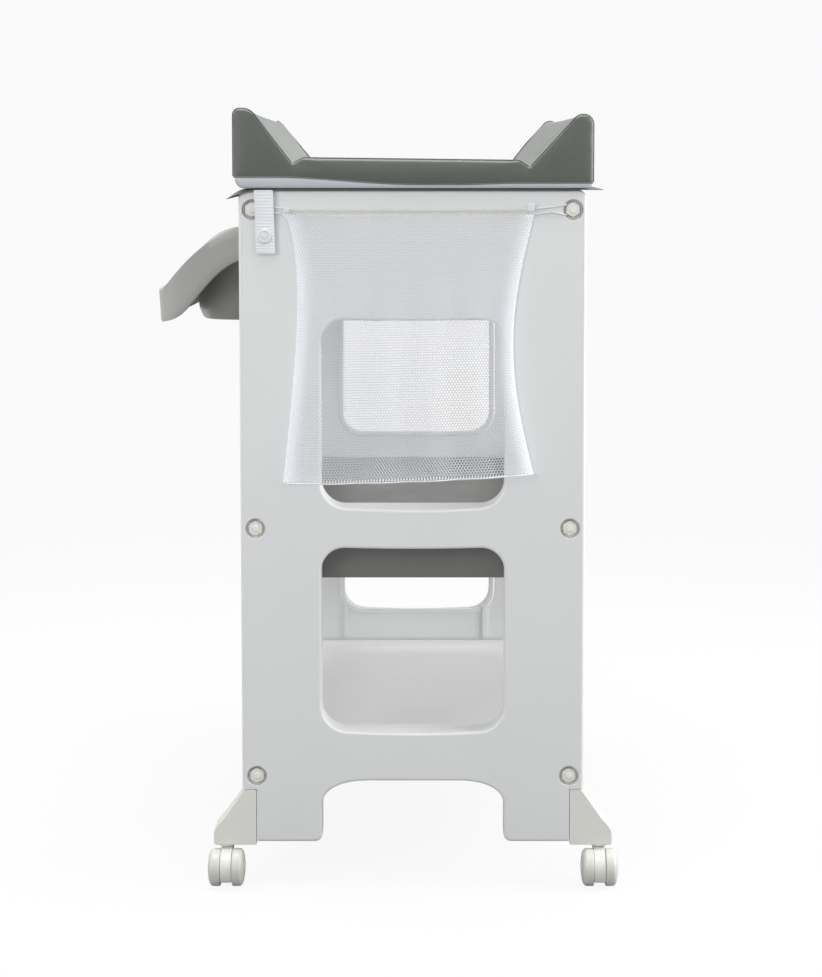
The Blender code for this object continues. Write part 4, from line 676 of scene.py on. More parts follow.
# Bath
# A thin-walled bath moulded in grey plastic, whose front bows out under a broad flared lip
# that dips in its middle. Four blocks at its corners take the panels' top bolts.
BATH_FRONT = 0.229
BATH_BACK = 0.220
BATH_HALF_LENGTH = 0.350
BATH_RIM = 0.939
BATH_FRONT_STEP = 0.0415
BATH_STEP_START = 0.120
BATH_DIP = 0.066
BATH_DIP_SHARES = (-0.02, 0.75)
BATH_BOW = 0.1155
BATH_FLARE = 0.032
BATH_FLARE_DROP = 0.037
BATH_APRON = 0.009
BATH_APRON_DROP = 0.004
LIP_ROLL_SHARES = ((0.22, 0.05, 0.20), (0.50, 0.20, 0.45), (0.70, 0.36, 0.64), (0.85, 0.55, 0.80),
                   (0.95, 0.77, 0.92), (1.00, 1.00, 1.00))
LIP_UNDER_SHARE = 1.3
BATH_SKIRT = 0.048
BATH_SKIRT_END_LOSS = 0.005
BATH_SKIRT_SWELL = 0.018
BATH_SKIRT_LEAN_SHARE = 0.045
SKIRT_FRONT_SHARES = (0.25, 0.5, 0.75, 0.96, 1.0)
SKIRT_BACK_SHARES = (0.99, 0.5)
BATH_SHOULDER_SHARE = 0.35
BATH_SHOULDER_WIDTH_SHARE = 0.37
BATH_WALL = 0.0035
BATH_DECKS = (0.012, 0.018, 0.038)
BATH_WALL_SLOPES = (0.005, 0.028, 0.075)
BATH_DECK_ROUND = 0.004
BATH_OUTER_RADIUS = 0.014
BATH_BASIN_RADIUS = 0.070
BATH_FOOT_RISE = 0.013
BATH_FOOT_RUNS = (0.006, 0.024, 0.024)
FOOT_BEND_SHARES = ((0.66, 0.06), (0.33, 0.25), (0.12, 0.55))
BATH_FLOOR = 0.750
BATH_FLOOR_RISE = 0.020
DRAIN_RADIUS = 0.020
DRAIN_PLACE = -0.060
DRAIN_DEPTH = 0.008
BATH_STEPS = 14
BATH_FRONT_STEPS = 72
BLOCK_SIZE = (0.026, 0.034, 0.050)
BLOCK_TOP = 0.9351
BLOCK_REACH = 0.214
BLOCK_ROUND = 0.003
TUB_COLOUR = (0.290, 0.293, 0.274)


def smooth(share):
    """Slope-free blend from 0 to 1."""
    share = min(max(share, 0.0), 1.0)
    return share * share * (3 - 2 * share)


def bath_inward(y):
    return 1 - min(abs(y) / BATH_HALF_LENGTH, 1.0)


def bath_rim_height(x, y):
    """Height of the rim's crest, which steps down at the front and dips in its middle."""
    forward = smooth((-x - BATH_STEP_START) / (BATH_FRONT - BATH_STEP_START))
    start, end = BATH_DIP_SHARES
    return BATH_RIM - forward * (BATH_FRONT_STEP + BATH_DIP * smooth((bath_inward(y) - start) / (end - start)))


def bath_ring(insets, radius, drop=0.0, flare=0.0, skirt=0.0, floor=None):
    """Ring of the bath, as insets from its rectangle at front, back and ends, bowed to the front."""
    front, back, end = insets
    left, right, length = front - BATH_FRONT, BATH_BACK - back, BATH_HALF_LENGTH - end
    plan = []
    corners = [(left, -length), (right, -length), (right, length), (left, length)]
    for i, (x, y) in enumerate(corners):
        goal = Vector(corners[(i + 1) % 4])
        along = (goal - Vector((x, y))).normalized()
        inward = Vector((-along.y, along.x))
        start = Vector((x, y)) + along * radius
        stop = goal - along * radius
        steps = BATH_FRONT_STEPS if i == 3 else BATH_STEPS
        plan += [start.lerp(stop, k / steps) for k in range(steps)]
        centre = stop + inward * radius
        for k in range(BATH_STEPS):
            angle = math.pi / 2 * k / BATH_STEPS
            plan.append(centre + along * radius * math.sin(angle) - inward * radius * math.cos(angle))
    ring = []
    for point in plan:
        reach = 1 - min(abs(point.y) / BATH_HALF_LENGTH, 1.0) ** 2
        forward = min(max(-point.x / BATH_FRONT, 0.0), 1.0)
        if floor is None:
            shoulder = 1 - abs(bath_inward(point.y) - BATH_SHOULDER_SHARE) / BATH_SHOULDER_WIDTH_SHARE
            depth = BATH_SKIRT - BATH_SKIRT_END_LOSS * (1 - smooth(2 * bath_inward(point.y)))
            depth += forward * BATH_SKIRT_SWELL * smooth(shoulder)
            lowered = drop + flare * forward * reach * BATH_FLARE_DROP + skirt * depth
            z = bath_rim_height(point.x, point.y) - lowered
        else:
            z = BATH_FLOOR + BATH_FLOOR_RISE * abs(point.y) / BATH_HALF_LENGTH + floor
        x = point.x - forward * reach * (BATH_BOW + flare * flare * BATH_FLARE)
        ring.append((x, point.y, z))
    return ring


def drain_ring(radius, height, around):
    """Ring round the drain, with a point towards each point of the ring around it."""
    spokes = [Vector((x - DRAIN_PLACE, y)).normalized() * radius for x, y, _ in around]
    return [(DRAIN_PLACE + spoke.x, spoke.y, height) for spoke in spokes]


def bath_rings():
    """Rings of one closed skin, from the drain over the rim and back beneath."""
    wall = BATH_WALL
    basin = BATH_BASIN_RADIUS
    foot = [deck + slope for deck, slope in zip(BATH_DECKS, BATH_WALL_SLOPES)]
    low = [value + run for value, run in zip(foot, BATH_FOOT_RUNS)]
    bends = [([value + share * run for value, run in zip(foot, BATH_FOOT_RUNS)], BATH_FOOT_RISE * rise)
             for share, rise in FOOT_BEND_SHARES]
    turn = BATH_DECK_ROUND
    edge = [value + turn for value in BATH_DECKS]
    upper = [bath_ring(low, basin, floor=0.0)]
    upper += [bath_ring(bend, basin, floor=rise) for bend, rise in bends]
    upper.append(bath_ring(foot, basin, floor=BATH_FOOT_RISE))
    upper += [bath_ring(edge, basin, turn),
              bath_ring([(a + b) / 2 for a, b in zip(edge, BATH_DECKS)], basin, turn / 4),
              bath_ring(BATH_DECKS, basin), bath_ring([0.0] * 3, BATH_OUTER_RADIUS)]
    for reach, drop, flare in LIP_ROLL_SHARES:
        upper.append(bath_ring([-BATH_APRON * reach] * 3, BATH_OUTER_RADIUS, BATH_APRON_DROP * drop, flare))
    for skirt in SKIRT_FRONT_SHARES:
        swell = BATH_APRON if skirt < 1 else BATH_APRON - wall / 3
        flare = 1 - skirt * BATH_SKIRT_LEAN_SHARE
        upper.append(bath_ring([-swell] * 3, BATH_OUTER_RADIUS, BATH_APRON_DROP, flare, skirt))
    skirt_inset = BATH_APRON - wall
    lower = [bath_ring([-skirt_inset] * 3, BATH_OUTER_RADIUS - wall, BATH_APRON_DROP,
                       1 - share * BATH_SKIRT_LEAN_SHARE, share) for share in SKIRT_BACK_SHARES]
    for reach, drop, flare in reversed(LIP_ROLL_SHARES):
        under = BATH_APRON_DROP * drop + wall * LIP_UNDER_SHARE
        lower.append(bath_ring([-skirt_inset * reach] * 3, BATH_OUTER_RADIUS - wall, under, flare))
    lower.append(bath_ring([0.0] * 3, BATH_OUTER_RADIUS - wall, wall))
    lower.append(bath_ring([deck - wall for deck in BATH_DECKS], basin + wall, wall + turn / 2))
    lower.append(bath_ring([value - wall for value in foot], basin + wall, floor=BATH_FOOT_RISE))
    lower += [bath_ring([value - wall / 2 for value in bend], basin, floor=rise - wall)
              for bend, rise in reversed(bends)]
    lower.append(bath_ring(low, basin, floor=-wall))
    drain_floor = BATH_FLOOR - DRAIN_DEPTH
    around = upper[0]
    return [drain_ring(DRAIN_RADIUS, BATH_FLOOR, around), *upper, *lower,
            drain_ring(DRAIN_RADIUS + wall, BATH_FLOOR - wall, around),
            drain_ring(DRAIN_RADIUS + wall, drain_floor, around),
            drain_ring(DRAIN_RADIUS, drain_floor, around)]


tub_plastic = moulded("tub_plastic", TUB_COLOUR, 0.34, grain=900.0, clouding=0.10, strength=0.08)
bm = bmesh.new()
rings = [add_ring(bm, ring) for ring in bath_rings()]
skin_rings(bm, [*rings, rings[0]], capped=False)
add_piece("bath_tub", bm, tub_plastic, stands_for=["bath"], sharp=50.0)

bm = bmesh.new()
inner_face = PANEL_FACE - PANEL_THICKNESS - SEAT_GAP
for across in (-1, 1):
    for along in (-1, 1):
        place = (across * BLOCK_REACH, along * (inner_face - BLOCK_SIZE[1] / 2), BLOCK_TOP - BLOCK_SIZE[2] / 2)
        add_block(bm, BLOCK_SIZE, place)
round_edges(bm, BLOCK_ROUND, 4)
weigh_normals(add_piece("bath_bolt_blocks", bm, tub_plastic))
soften("drain_plug", grey_plastic, "plug")

# Changing mat
# A foam mat with a wedge along each side, welded into a soft grey vinyl cover. A dark welt
# runs round each end face, and a wavy seam joins the cover to its pale underside.
MAT_LEFT = -0.238
MAT_RIGHT = 0.240
MAT_HALF_LENGTH = 0.400
BASE_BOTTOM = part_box("mat_base")[0].z
MAT_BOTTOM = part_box("changing_mat")[0].z
MAT_THICKNESS = 0.0298
MAT_LEAN = 0.0035
VALLEY_HEIGHTS = (0.0234, 0.0185)
LEFT_WEDGE = 0.097
RIGHT_WEDGE = 0.089
WEDGE_BASES = (0.078, 0.0837)
RIDGE_PLACES = (0.0214, 0.0191)
RIDGE_RADII = (0.018, 0.013)
EDGE_RADII = (0.0080, 0.0125)
MAT_SAG = 0.0115
MAT_SAG_REACH = 0.07
FLAT_END_SHARE = 0.55
FAR_LEAN = 0.016
FLAT_FALL = 0.008
FAR_DROP = 0.008
VALLEY_RADIUS = 0.012
VALLEY_BEND = 0.015
SEAM_RISE = 0.0065
SEAM_LEFT_RISE = 0.0100
SEAM_RIGHT_RISE = 0.0020
SEAM_LEFT_SPAN = (0.02, 0.20)
SEAM_LEFT_SHAPE = 1.2
SEAM_RIGHT_SPAN = (0.06, 0.08)
SEAM_END_REACH = 0.06
FLAT_START_SHARE = 0.6
FLAT_BLEND = 0.05
WEDGE_END_SHARE = 0.7
WEDGE_BLEND = 0.08
FAR_LEAN_START = 0.02
END_RADIUS = 0.0055
WELT_INSET = 0.0070
WELT_RADIUS = 0.0016
WELT_GROOVE = 0.0012
WELT_DEPTH = 0.0003
PIPING_RADIUS = 0.0015
COLUMN_SPACING = 0.0062
STATION_SPACING = 0.0085
MAT_ROWS = 12
CLOTH_PRESSURE = 4.0
CLOTH_FRAMES = 20
PUFF_LIMIT = 0.0035
PUCKER = 0.0010
PUCKER_START = 0.001
PUCKER_REACH = 0.03
PUCKER_WAVES = (12.0, 70.0)
VINYL_COLOUR = (0.092, 0.103, 0.090)
WELT_COLOUR = (0.030, 0.034, 0.031)
PIPING_COLOUR = (0.16, 0.18, 0.185)
GRAIN_DEPTH_SLOPE = 5.0
CREASE_SCALE = 60.0
LEATHER_CLOUD_SCALE = 9.0

tree, given, result = start_group(
    "leather_grain", [("Vector", "Vector"), ("Colour", "Color"), ("Cell", "Float"), ("Roughness", "Float")],
    [("Colour", "Color"), ("Roughness", "Float"), ("Height", "Float")])
LEATHER_GRAIN = tree
cells = add_node(tree, "TexVoronoi", {"Vector": given["Vector"], "Scale": given["Cell"]},
                 feature="DISTANCE_TO_EDGE").outputs["Distance"]
creases = clouds(tree, given, CREASE_SCALE, 4.0)
plump = maths(tree, "MINIMUM", maths(tree, "MULTIPLY", cells, GRAIN_DEPTH_SLOPE), 1.0)
shade = swing(tree, clouds(tree, given, LEATHER_CLOUD_SCALE), 0.16, 0.96)
shade_colour(tree, given, result, maths(tree, "MULTIPLY_ADD", plump, 0.05, shade))
tree.links.new(swing(tree, creases, 0.2, given["Roughness"]), result["Roughness"])
tree.links.new(maths(tree, "MULTIPLY_ADD", creases, 2.0, plump), result["Height"])


def vinyl(name, colour, roughness, cell=900.0, strength=0.25, own=None):
    """Coated cloth with a fine leather grain."""
    inputs = {"Cell": cell, "Roughness": roughness}
    return dressed(name, LEATHER_GRAIN, colour, roughness, inputs, strength, 0.0003, own)


def resample(points, spacing):
    """Points along a line, evenly spaced within each stretch between sharp turns."""
    spread = [points[0]]
    for here, after in zip(points, points[1:]):
        count = max(round((after - here).length / spacing), 1)
        spread += [here.lerp(after, (k + 1) / count) for k in range(count)]
    return spread


def mat_profile():
    """Upper line of the mat's section from the left edge to the right one."""
    left_top = MAT_BOTTOM + LEFT_WEDGE
    right_top = MAT_BOTTOM + RIGHT_WEDGE
    left_foot = MAT_LEFT + WEDGE_BASES[0]
    right_foot = MAT_RIGHT - WEDGE_BASES[1]
    left_flat = MAT_BOTTOM + MAT_THICKNESS + MAT_LEAN / 2
    right_flat = left_flat - MAT_LEAN
    valleys = [MAT_BOTTOM + height for height in VALLEY_HEIGHTS]
    corners = [
        (MAT_LEFT, MAT_BOTTOM, 0), (MAT_LEFT, left_top, EDGE_RADII[0]),
        (MAT_LEFT + RIDGE_PLACES[0], left_top, RIDGE_RADII[0]),
        (left_foot, valleys[0], 0), (left_foot + VALLEY_BEND, left_flat, VALLEY_RADIUS),
        (0.0, (left_flat + right_flat) / 2, 0), (right_foot - VALLEY_BEND, right_flat, VALLEY_RADIUS),
        (right_foot, valleys[1], 0), (MAT_RIGHT - RIDGE_PLACES[1], right_top, RIDGE_RADII[1]),
        (MAT_RIGHT, right_top, EDGE_RADII[1]), (MAT_RIGHT, MAT_BOTTOM, 0)]
    return rounded(corners, 5)


def seam_height(x):
    """Height of the seam between the cover and its underside, higher at the left."""
    start, span = SEAM_LEFT_SPAN
    left = smooth((start - x) / span) ** SEAM_LEFT_SHAPE * SEAM_LEFT_RISE
    start, span = SEAM_RIGHT_SPAN
    right = smooth((x - start) / span) * SEAM_RIGHT_RISE
    return BASE_BOTTOM + SEAM_RISE + left + right


def mat_stations():
    """Stations along the mat as (place, shrinkage), with rounded ends and a groove for the welt."""
    ends = []
    for i in range(5):
        angle = math.pi / 2 * i / 4
        ends.append((MAT_HALF_LENGTH - END_RADIUS * (1 - math.cos(angle)), END_RADIUS * (1 - math.sin(angle))))
    welt = MAT_HALF_LENGTH - WELT_INSET
    ends += [(welt + WELT_GROOVE, 0.0), (welt, WELT_DEPTH), (welt - WELT_GROOVE, 0.0)]
    inner = welt - 2 * WELT_GROOVE
    count = round(2 * inner / STATION_SPACING)
    middle = [(inner - 2 * inner * i / count, 0.0) for i in range(count + 1)]
    return ends + middle + [(-y, shrink) for y, shrink in reversed(ends)]


def mat_columns():
    """Columns across the mat as (x, height of the top)."""
    profile = mat_profile()
    start = next(i for i, point in enumerate(profile) if point.y > MAT_BOTTOM + LEFT_WEDGE / 2)
    skipped = next(i for i, point in enumerate(reversed(profile)) if point.y > MAT_BOTTOM + RIGHT_WEDGE / 2)
    return [(point.x, point.y) for point in resample(profile[start:len(profile) - skipped], COLUMN_SPACING)]


def box_grid(columns, rows, stations, place):
    """Closed skin of a block of columns, rows and stations, whose points place() gives."""
    bm = bmesh.new()
    points = {}

    def at(i, k, j):
        key = (i, k, j)
        if key not in points:
            points[key] = bm.verts.new(place(i, k, j))
        return points[key]

    last_i, last_k, last_j = columns - 1, rows, stations - 1
    for i in range(last_i):
        for j in range(last_j):
            for k in (0, last_k):
                bm.faces.new((at(i, k, j), at(i + 1, k, j), at(i + 1, k, j + 1), at(i, k, j + 1)))
        for k in range(last_k):
            for j in (0, last_j):
                bm.faces.new((at(i, k, j), at(i + 1, k, j), at(i + 1, k + 1, j), at(i, k + 1, j)))
    for j in range(last_j):
        for k in range(last_k):
            for i in (0, last_i):
                bm.faces.new((at(i, k, j), at(i, k + 1, j), at(i, k + 1, j + 1), at(i, k, j + 1)))
    bm.verts.index_update()
    return bm, {key: vert.index for key, vert in points.items()}


def mat_point(i, k, j):
    """Point of the cover at a column, a row and a station."""
    x, top = MAT_COLUMNS[i]
    y, shrink = MAT_STATIONS[j]
    low = MAT_BOTTOM + (seam_height(x) - MAT_BOTTOM) * smooth((abs(y) - MAT_HALF_LENGTH) / SEAM_END_REACH + 1)
    from_left, from_right = x - MAT_LEFT, MAT_RIGHT - x
    share = from_left / (MAT_RIGHT - MAT_LEFT)
    flat = smooth((from_left - FLAT_START_SHARE * WEDGE_BASES[0]) / FLAT_BLEND)
    flat *= smooth((from_right - FLAT_START_SHARE * WEDGE_BASES[1]) / FLAT_BLEND)
    farther = (y + MAT_HALF_LENGTH) / (2 * MAT_HALF_LENGTH)
    sag = MAT_SAG * smooth((MAT_HALF_LENGTH - WELT_INSET - abs(y)) / MAT_SAG_REACH)
    top -= flat * (sag + FLAT_FALL * farther)
    wedge = 1 - smooth((from_left - WEDGE_BASES[0] * WEDGE_END_SHARE) / WEDGE_BLEND)
    top -= FAR_DROP * wedge * farther * smooth((top - MAT_BOTTOM) / LEFT_WEDGE)
    shrink *= 1 - (1 - FLAT_END_SHARE) * flat
    x += shrink * (1 - 2 * share) - FAR_LEAN * wedge * farther * min(from_left / FAR_LEAN_START, 1.0)
    return x, y, low + (top - shrink - low) * k / MAT_ROWS


def swell(piece, pinned, limit):
    """Cover blown up over its filling by a cloth simulation, no point moving past a limit."""
    pins = piece.vertex_groups.new(name="pins")
    pins.add(pinned, 1.0, "REPLACE")
    cloth = piece.modifiers.new("cloth", "CLOTH")
    settings = cloth.settings
    settings.quality = 5
    settings.mass = 0.3
    settings.tension_stiffness = settings.compression_stiffness = 25.0
    settings.shear_stiffness = 10.0
    settings.bending_stiffness = 1.0
    settings.use_pressure = True
    settings.uniform_pressure_force = CLOTH_PRESSURE
    settings.vertex_group_mass = "pins"
    settings.effector_weights.gravity = 0.0
    cloth.point_cache.frame_start = 1
    cloth.point_cache.frame_end = CLOTH_FRAMES
    for step in range(1, CLOTH_FRAMES + 1):
        scene.frame_set(step)
    graph = bpy.context.evaluated_depsgraph_get()
    blown = [vert.co.copy() for vert in piece.evaluated_get(graph).data.vertices]
    piece.modifiers.remove(cloth)
    piece.vertex_groups.remove(pins)
    for vert, moved in zip(piece.data.vertices, blown):
        step = moved - vert.co
        vert.co += step * min(1.0, limit / max(step.length, 1e-9))
    scene.frame_set(1)


def add_tube(name, path, radius, material, body, closed=False):
    """Round tube along points that are already placed."""
    curve = bpy.data.curves.new(name, "CURVE")
    curve.dimensions = "3D"
    curve.bevel_depth = radius
    curve.bevel_resolution = 2
    curve.use_fill_caps = not closed
    spline = curve.splines.new("POLY")
    spline.points.add(len(path) - 1)
    spline.use_cyclic_u = closed
    for point, place in zip(spline.points, path):
        point.co = (*place, 1.0)
    bm = bmesh.new()
    bm.from_mesh(harvest(add_object(name + "_line", curve)))
    bmesh.ops.remove_doubles(bm, verts=bm.verts, dist=radius / 50)
    return add_piece(name, bm, material, body, placed=True, sharp=60.0)


MAT_COLUMNS = mat_columns()
MAT_STATIONS = mat_stations()
bm, MAT_INDEX = box_grid(len(MAT_COLUMNS), MAT_ROWS, len(MAT_STATIONS), mat_point)
cover_vinyl = vinyl("cover_vinyl", VINYL_COLOUR, 0.38, own={"Sheen Weight": 0.35, "Sheen Roughness": 0.35})
cover = add_piece("mat_cover", bm, cover_vinyl, "mat_top", ["changing_mat"], sharp=180.0)
welt_place = MAT_HALF_LENGTH - WELT_INSET
welt_stations = [j for j, (y, shrink) in enumerate(MAT_STATIONS) if abs(abs(y) - welt_place) < 1e-6]
valley_columns = [min(range(len(MAT_COLUMNS)), key=lambda i: abs(MAT_COLUMNS[i][0] - foot))
                  for foot in (MAT_LEFT + WEDGE_BASES[0], MAT_RIGHT - WEDGE_BASES[1])]
held = [index for (i, k, j), index in MAT_INDEX.items()
        if k == 0 or j in welt_stations or (k == MAT_ROWS and i in valley_columns)]
swell(cover, held, PUFF_LIMIT)
cover_lines = {}
for j in welt_stations:
    sides = [(0, k) for k in range(MAT_ROWS)] + [(i, MAT_ROWS) for i in range(len(MAT_COLUMNS))]
    sides += [(len(MAT_COLUMNS) - 1, k) for k in range(MAT_ROWS - 1, -1, -1)]
    cover_lines[j] = [cover.data.vertices[MAT_INDEX[(i, k, j)]].co.copy() for i, k in sides]
for (i, k, j), index in MAT_INDEX.items():
    vert = cover.data.vertices[index]
    seam_distance = min(abs(MAT_COLUMNS[i][0] - MAT_COLUMNS[c][0]) for c in valley_columns)
    if k == MAT_ROWS and PUCKER_START < seam_distance < PUCKER_REACH:
        wave = noise.noise(Vector((vert.co.y * PUCKER_WAVES[1], MAT_COLUMNS[i][0] * PUCKER_WAVES[0], 0.0)))
        vert.co.z += PUCKER * wave * (1 - seam_distance / PUCKER_REACH)
modifier = cover.modifiers.new("soft", "SUBSURF")
modifier.levels = modifier.render_levels = 1
welt_vinyl = vinyl("welt_vinyl", WELT_COLOUR, 0.5, cell=1500.0)
for j, path in cover_lines.items():
    end = "near" if MAT_STATIONS[j][0] < 0 else "far"
    add_tube(end + "_mat_welt", path, WELT_RADIUS, welt_vinyl, "mat_top")

# Underside of the mat
# The mat's pale coated underside wraps up round its lower edges to the seam, where a grey
# piping is sewn in. It is thicker at the left, where the seam climbs.
BASE_INSET = 0.0012
BASE_ROUND = 0.007
BASE_ROWS = 4
BASE_LEFT_TUCK = 1.6
BASE_COLUMNS = 72
BASE_STATIONS = 91
COVER_GAP = 0.0004
SEAM_GAP = 0.0006
BASE_COLOUR = (0.61, 0.635, 0.68)


def base_point(i, k, j):
    """Point of the underside at a column, a row and a station."""
    share = i / (BASE_COLUMNS - 1)
    angle = math.pi / 2 * k / BASE_ROWS
    tuck = BASE_ROUND * (1 - math.sin(angle)) + BASE_INSET
    left_tuck = tuck * (BASE_LEFT_TUCK if share < 0.5 else 1.0)
    x = MAT_LEFT + left_tuck + (MAT_RIGHT - tuck - MAT_LEFT - left_tuck) * share
    y = (MAT_HALF_LENGTH - tuck) * math.sin(math.pi * (j / (BASE_STATIONS - 1) - 0.5))
    near_end = smooth((abs(y) - MAT_HALF_LENGTH) / SEAM_END_REACH + 1)
    top = MAT_BOTTOM - COVER_GAP + (seam_height(x) - SEAM_GAP - MAT_BOTTOM) * near_end
    return x, y, BASE_BOTTOM + (top - BASE_BOTTOM) * (1 - math.cos(angle))


bm, _ = box_grid(BASE_COLUMNS, BASE_ROWS, BASE_STATIONS, base_point)
base_vinyl = vinyl("base_vinyl", BASE_COLOUR, 0.46, cell=700.0, strength=0.2)
base = add_piece("mat_underside", bm, base_vinyl, "mat_top", ["mat_base"], sharp=180.0)
piping_vinyl = vinyl("piping_vinyl", PIPING_COLOUR, 0.45, cell=1500.0)
path = []
for along in (-1, 1):
    reach = MAT_HALF_LENGTH - PIPING_RADIUS
    ends = (MAT_LEFT + PIPING_RADIUS, MAT_RIGHT - PIPING_RADIUS)
    xs = [ends[0] + (ends[1] - ends[0]) * i / 80 for i in range(81)]
    line = [Vector((x, along * reach, seam_height(x) - PIPING_RADIUS * 0.4)) for x in xs]
    path += line if along < 0 else list(reversed(line))
add_tube("mat_piping", [MIDDLE + point for point in path], PIPING_RADIUS, piping_vinyl, "mat_top",
         closed=True)

# Sheet under the mat
# A thin dark sheet lies on the panels' tops under the mat. Its front edge bends down over
# the panels' rounded corners, and its back edge sticks out a little.
SHEET_THICKNESS = 0.0008
SHEET_LEFT = -0.247
SHEET_RIGHT = 0.254
SHEET_HALF_LENGTH = 0.3945
SHEET_BOTTOM = PANEL_TOP + SEAT_GAP
SHEET_DROOP = 0.0125
SHEET_BEND_START = -(PANEL_WIDTH / 2 - PANEL_TOP_RADIUS / 2)
SHEET_BEND_SHARE = 1.3
SHEET_CORNER_DROOP = 0.0055
SHEET_CORNER_START = -0.206
SHEET_CORNER_BLEND = 0.025
SHEET_CORNER_LEAD = 0.003
SHEET_BEND_COLUMNS = 12
SHEET_FLAT_COLUMNS = 50
SHEET_ROWS = 80
SHEET_COLOUR = (0.17, 0.165, 0.155)


def thicken(piece, thickness):
    modifier = piece.modifiers.new("thickness", "SOLIDIFY")
    modifier.thickness = thickness
    modifier.offset = 0.0


def sheet_height(x, y):
    """Height of the sheet, whose corners hang a little more where they pass the panels' faces."""
    share = min(max((SHEET_BEND_START - x) / (SHEET_BEND_START - SHEET_LEFT), 0.0), 1.0)
    passed = smooth((abs(y) - PANEL_FACE + SHEET_CORNER_LEAD) / (SHEET_HALF_LENGTH - PANEL_FACE))
    corner = SHEET_CORNER_DROOP * passed * smooth((SHEET_CORNER_START - x) / SHEET_CORNER_BLEND) * (1 - share)
    return SHEET_BOTTOM + SHEET_THICKNESS / 2 - SHEET_DROOP * share ** SHEET_BEND_SHARE - corner


bm = bmesh.new()
bend, flat = SHEET_BEND_START - SHEET_LEFT, SHEET_RIGHT - SHEET_BEND_START
sheet_xs = [SHEET_LEFT + bend * i / SHEET_BEND_COLUMNS for i in range(SHEET_BEND_COLUMNS)]
sheet_xs += [SHEET_BEND_START + flat * i / SHEET_FLAT_COLUMNS for i in range(SHEET_FLAT_COLUMNS + 1)]
sheet_ys = [SHEET_HALF_LENGTH * math.sin(math.pi * (j / SHEET_ROWS - 0.5)) for j in range(SHEET_ROWS + 1)]
lines = [[bm.verts.new((x, y, sheet_height(x, y))) for x in sheet_xs] for y in sheet_ys]
for first, second in zip(lines, lines[1:]):
    for i in range(len(first) - 1):
        bm.faces.new((first[i], first[i + 1], second[i + 1], second[i]))
sheet_vinyl = vinyl("sheet_vinyl", SHEET_COLOUR, 0.5)
sheet = add_piece("under_sheet", bm, sheet_vinyl, "mat_top", ["mat_sheet"])
thicken(sheet, SHEET_THICKNESS)

# Straps and snaps
# White ribbed webbing, 25 mm wide, folded up behind itself and held by a nylon snap. It
# hangs from the sheet at each end of the mat.
STRAP_WIDTH = 0.025
STRAP_REACH = 0.1966
STRAP_THICKNESS = 0.0014
STRAP_SLACK = 0.0006
STRAP_STANDOFF = 0.0046
STRAP_BOTTOM = 0.862
STRAP_RETURN = 0.062
STRAP_RIB_PITCH = 0.0042
STRAP_RIB = 0.00030
STRAP_RIB_FLOOR = -0.3
STRAP_SECTION = ((-1, -1), (-0.94, -1), (0.94, -1), (1, -1), (1, 1), (0.94, 1), (-0.94, 1), (-1, 1))
STRAP_EDGE_SHARE = 0.5
SNAP_RISE = 0.024
SNAP_PROFILE = ((0.0002, 0.0), (0.0095, 0.0), (0.0095, 0.0016), (0.0090, 0.0024), (0.0080, 0.0029),
                (0.0068, 0.0029), (0.0060, 0.0023), (0.0052, 0.0023), (0.0044, 0.0028), (0.0020, 0.0030),
                (0.0002, 0.0030))
STRAP_COLOUR = (0.90, 0.92, 0.96)
STRAP_LEAN = 0.03
STRAP_LEAN_LEVEL = 0.906
SNAP_COLOUR = (0.76, 0.78, 0.79)
YARN_FUZZ_SCALE = 900.0

tree, given, result = start_group(
    "woven", [("Vector", "Vector"), ("Colour", "Color"), ("Threads", "Float")],
    [("Colour", "Color"), ("Height", "Float")])
WOVEN = tree
split = add_node(tree, "SeparateXYZ", {"Vector": given["Vector"]}).outputs
turns = maths(tree, "MULTIPLY", given["Threads"], 2 * math.pi)
warp, weft = [maths(tree, "SINE", maths(tree, "MULTIPLY", split[axis], turns)) for axis in "XZ"]
cross = maths(tree, "MULTIPLY_ADD", warp, weft, clouds(tree, given, YARN_FUZZ_SCALE))
shade_colour(tree, given, result, maths(tree, "MULTIPLY_ADD", cross, 0.05, 0.94))
tree.links.new(cross, result["Height"])


def woven(name, colour, threads):
    """Woven or knitted yarn."""
    return dressed(name, WOVEN, colour, 0.85, {"Threads": threads}, 0.4, 0.0002, {"Sheen Weight": 0.25})


def strap_path():
    """Middle line of the webbing as (out, up), from its top down, round its fold and up behind."""
    front = 1.5 * STRAP_THICKNESS + STRAP_SLACK
    back = STRAP_THICKNESS / 2
    middle = (front + back) / 2
    bend = (front - back) / 2
    level = STRAP_BOTTOM + bend + STRAP_THICKNESS / 2
    path = [Vector((front, PANEL_TOP)), Vector((front, level))]
    path += [Vector((middle + bend * math.cos(a), level - bend * math.sin(a))) for a in
             (math.pi * i / 8 for i in range(1, 9))]
    path.append(Vector((back, STRAP_BOTTOM + STRAP_RETURN)))
    return resample(path, STRAP_RIB_PITCH / 10)


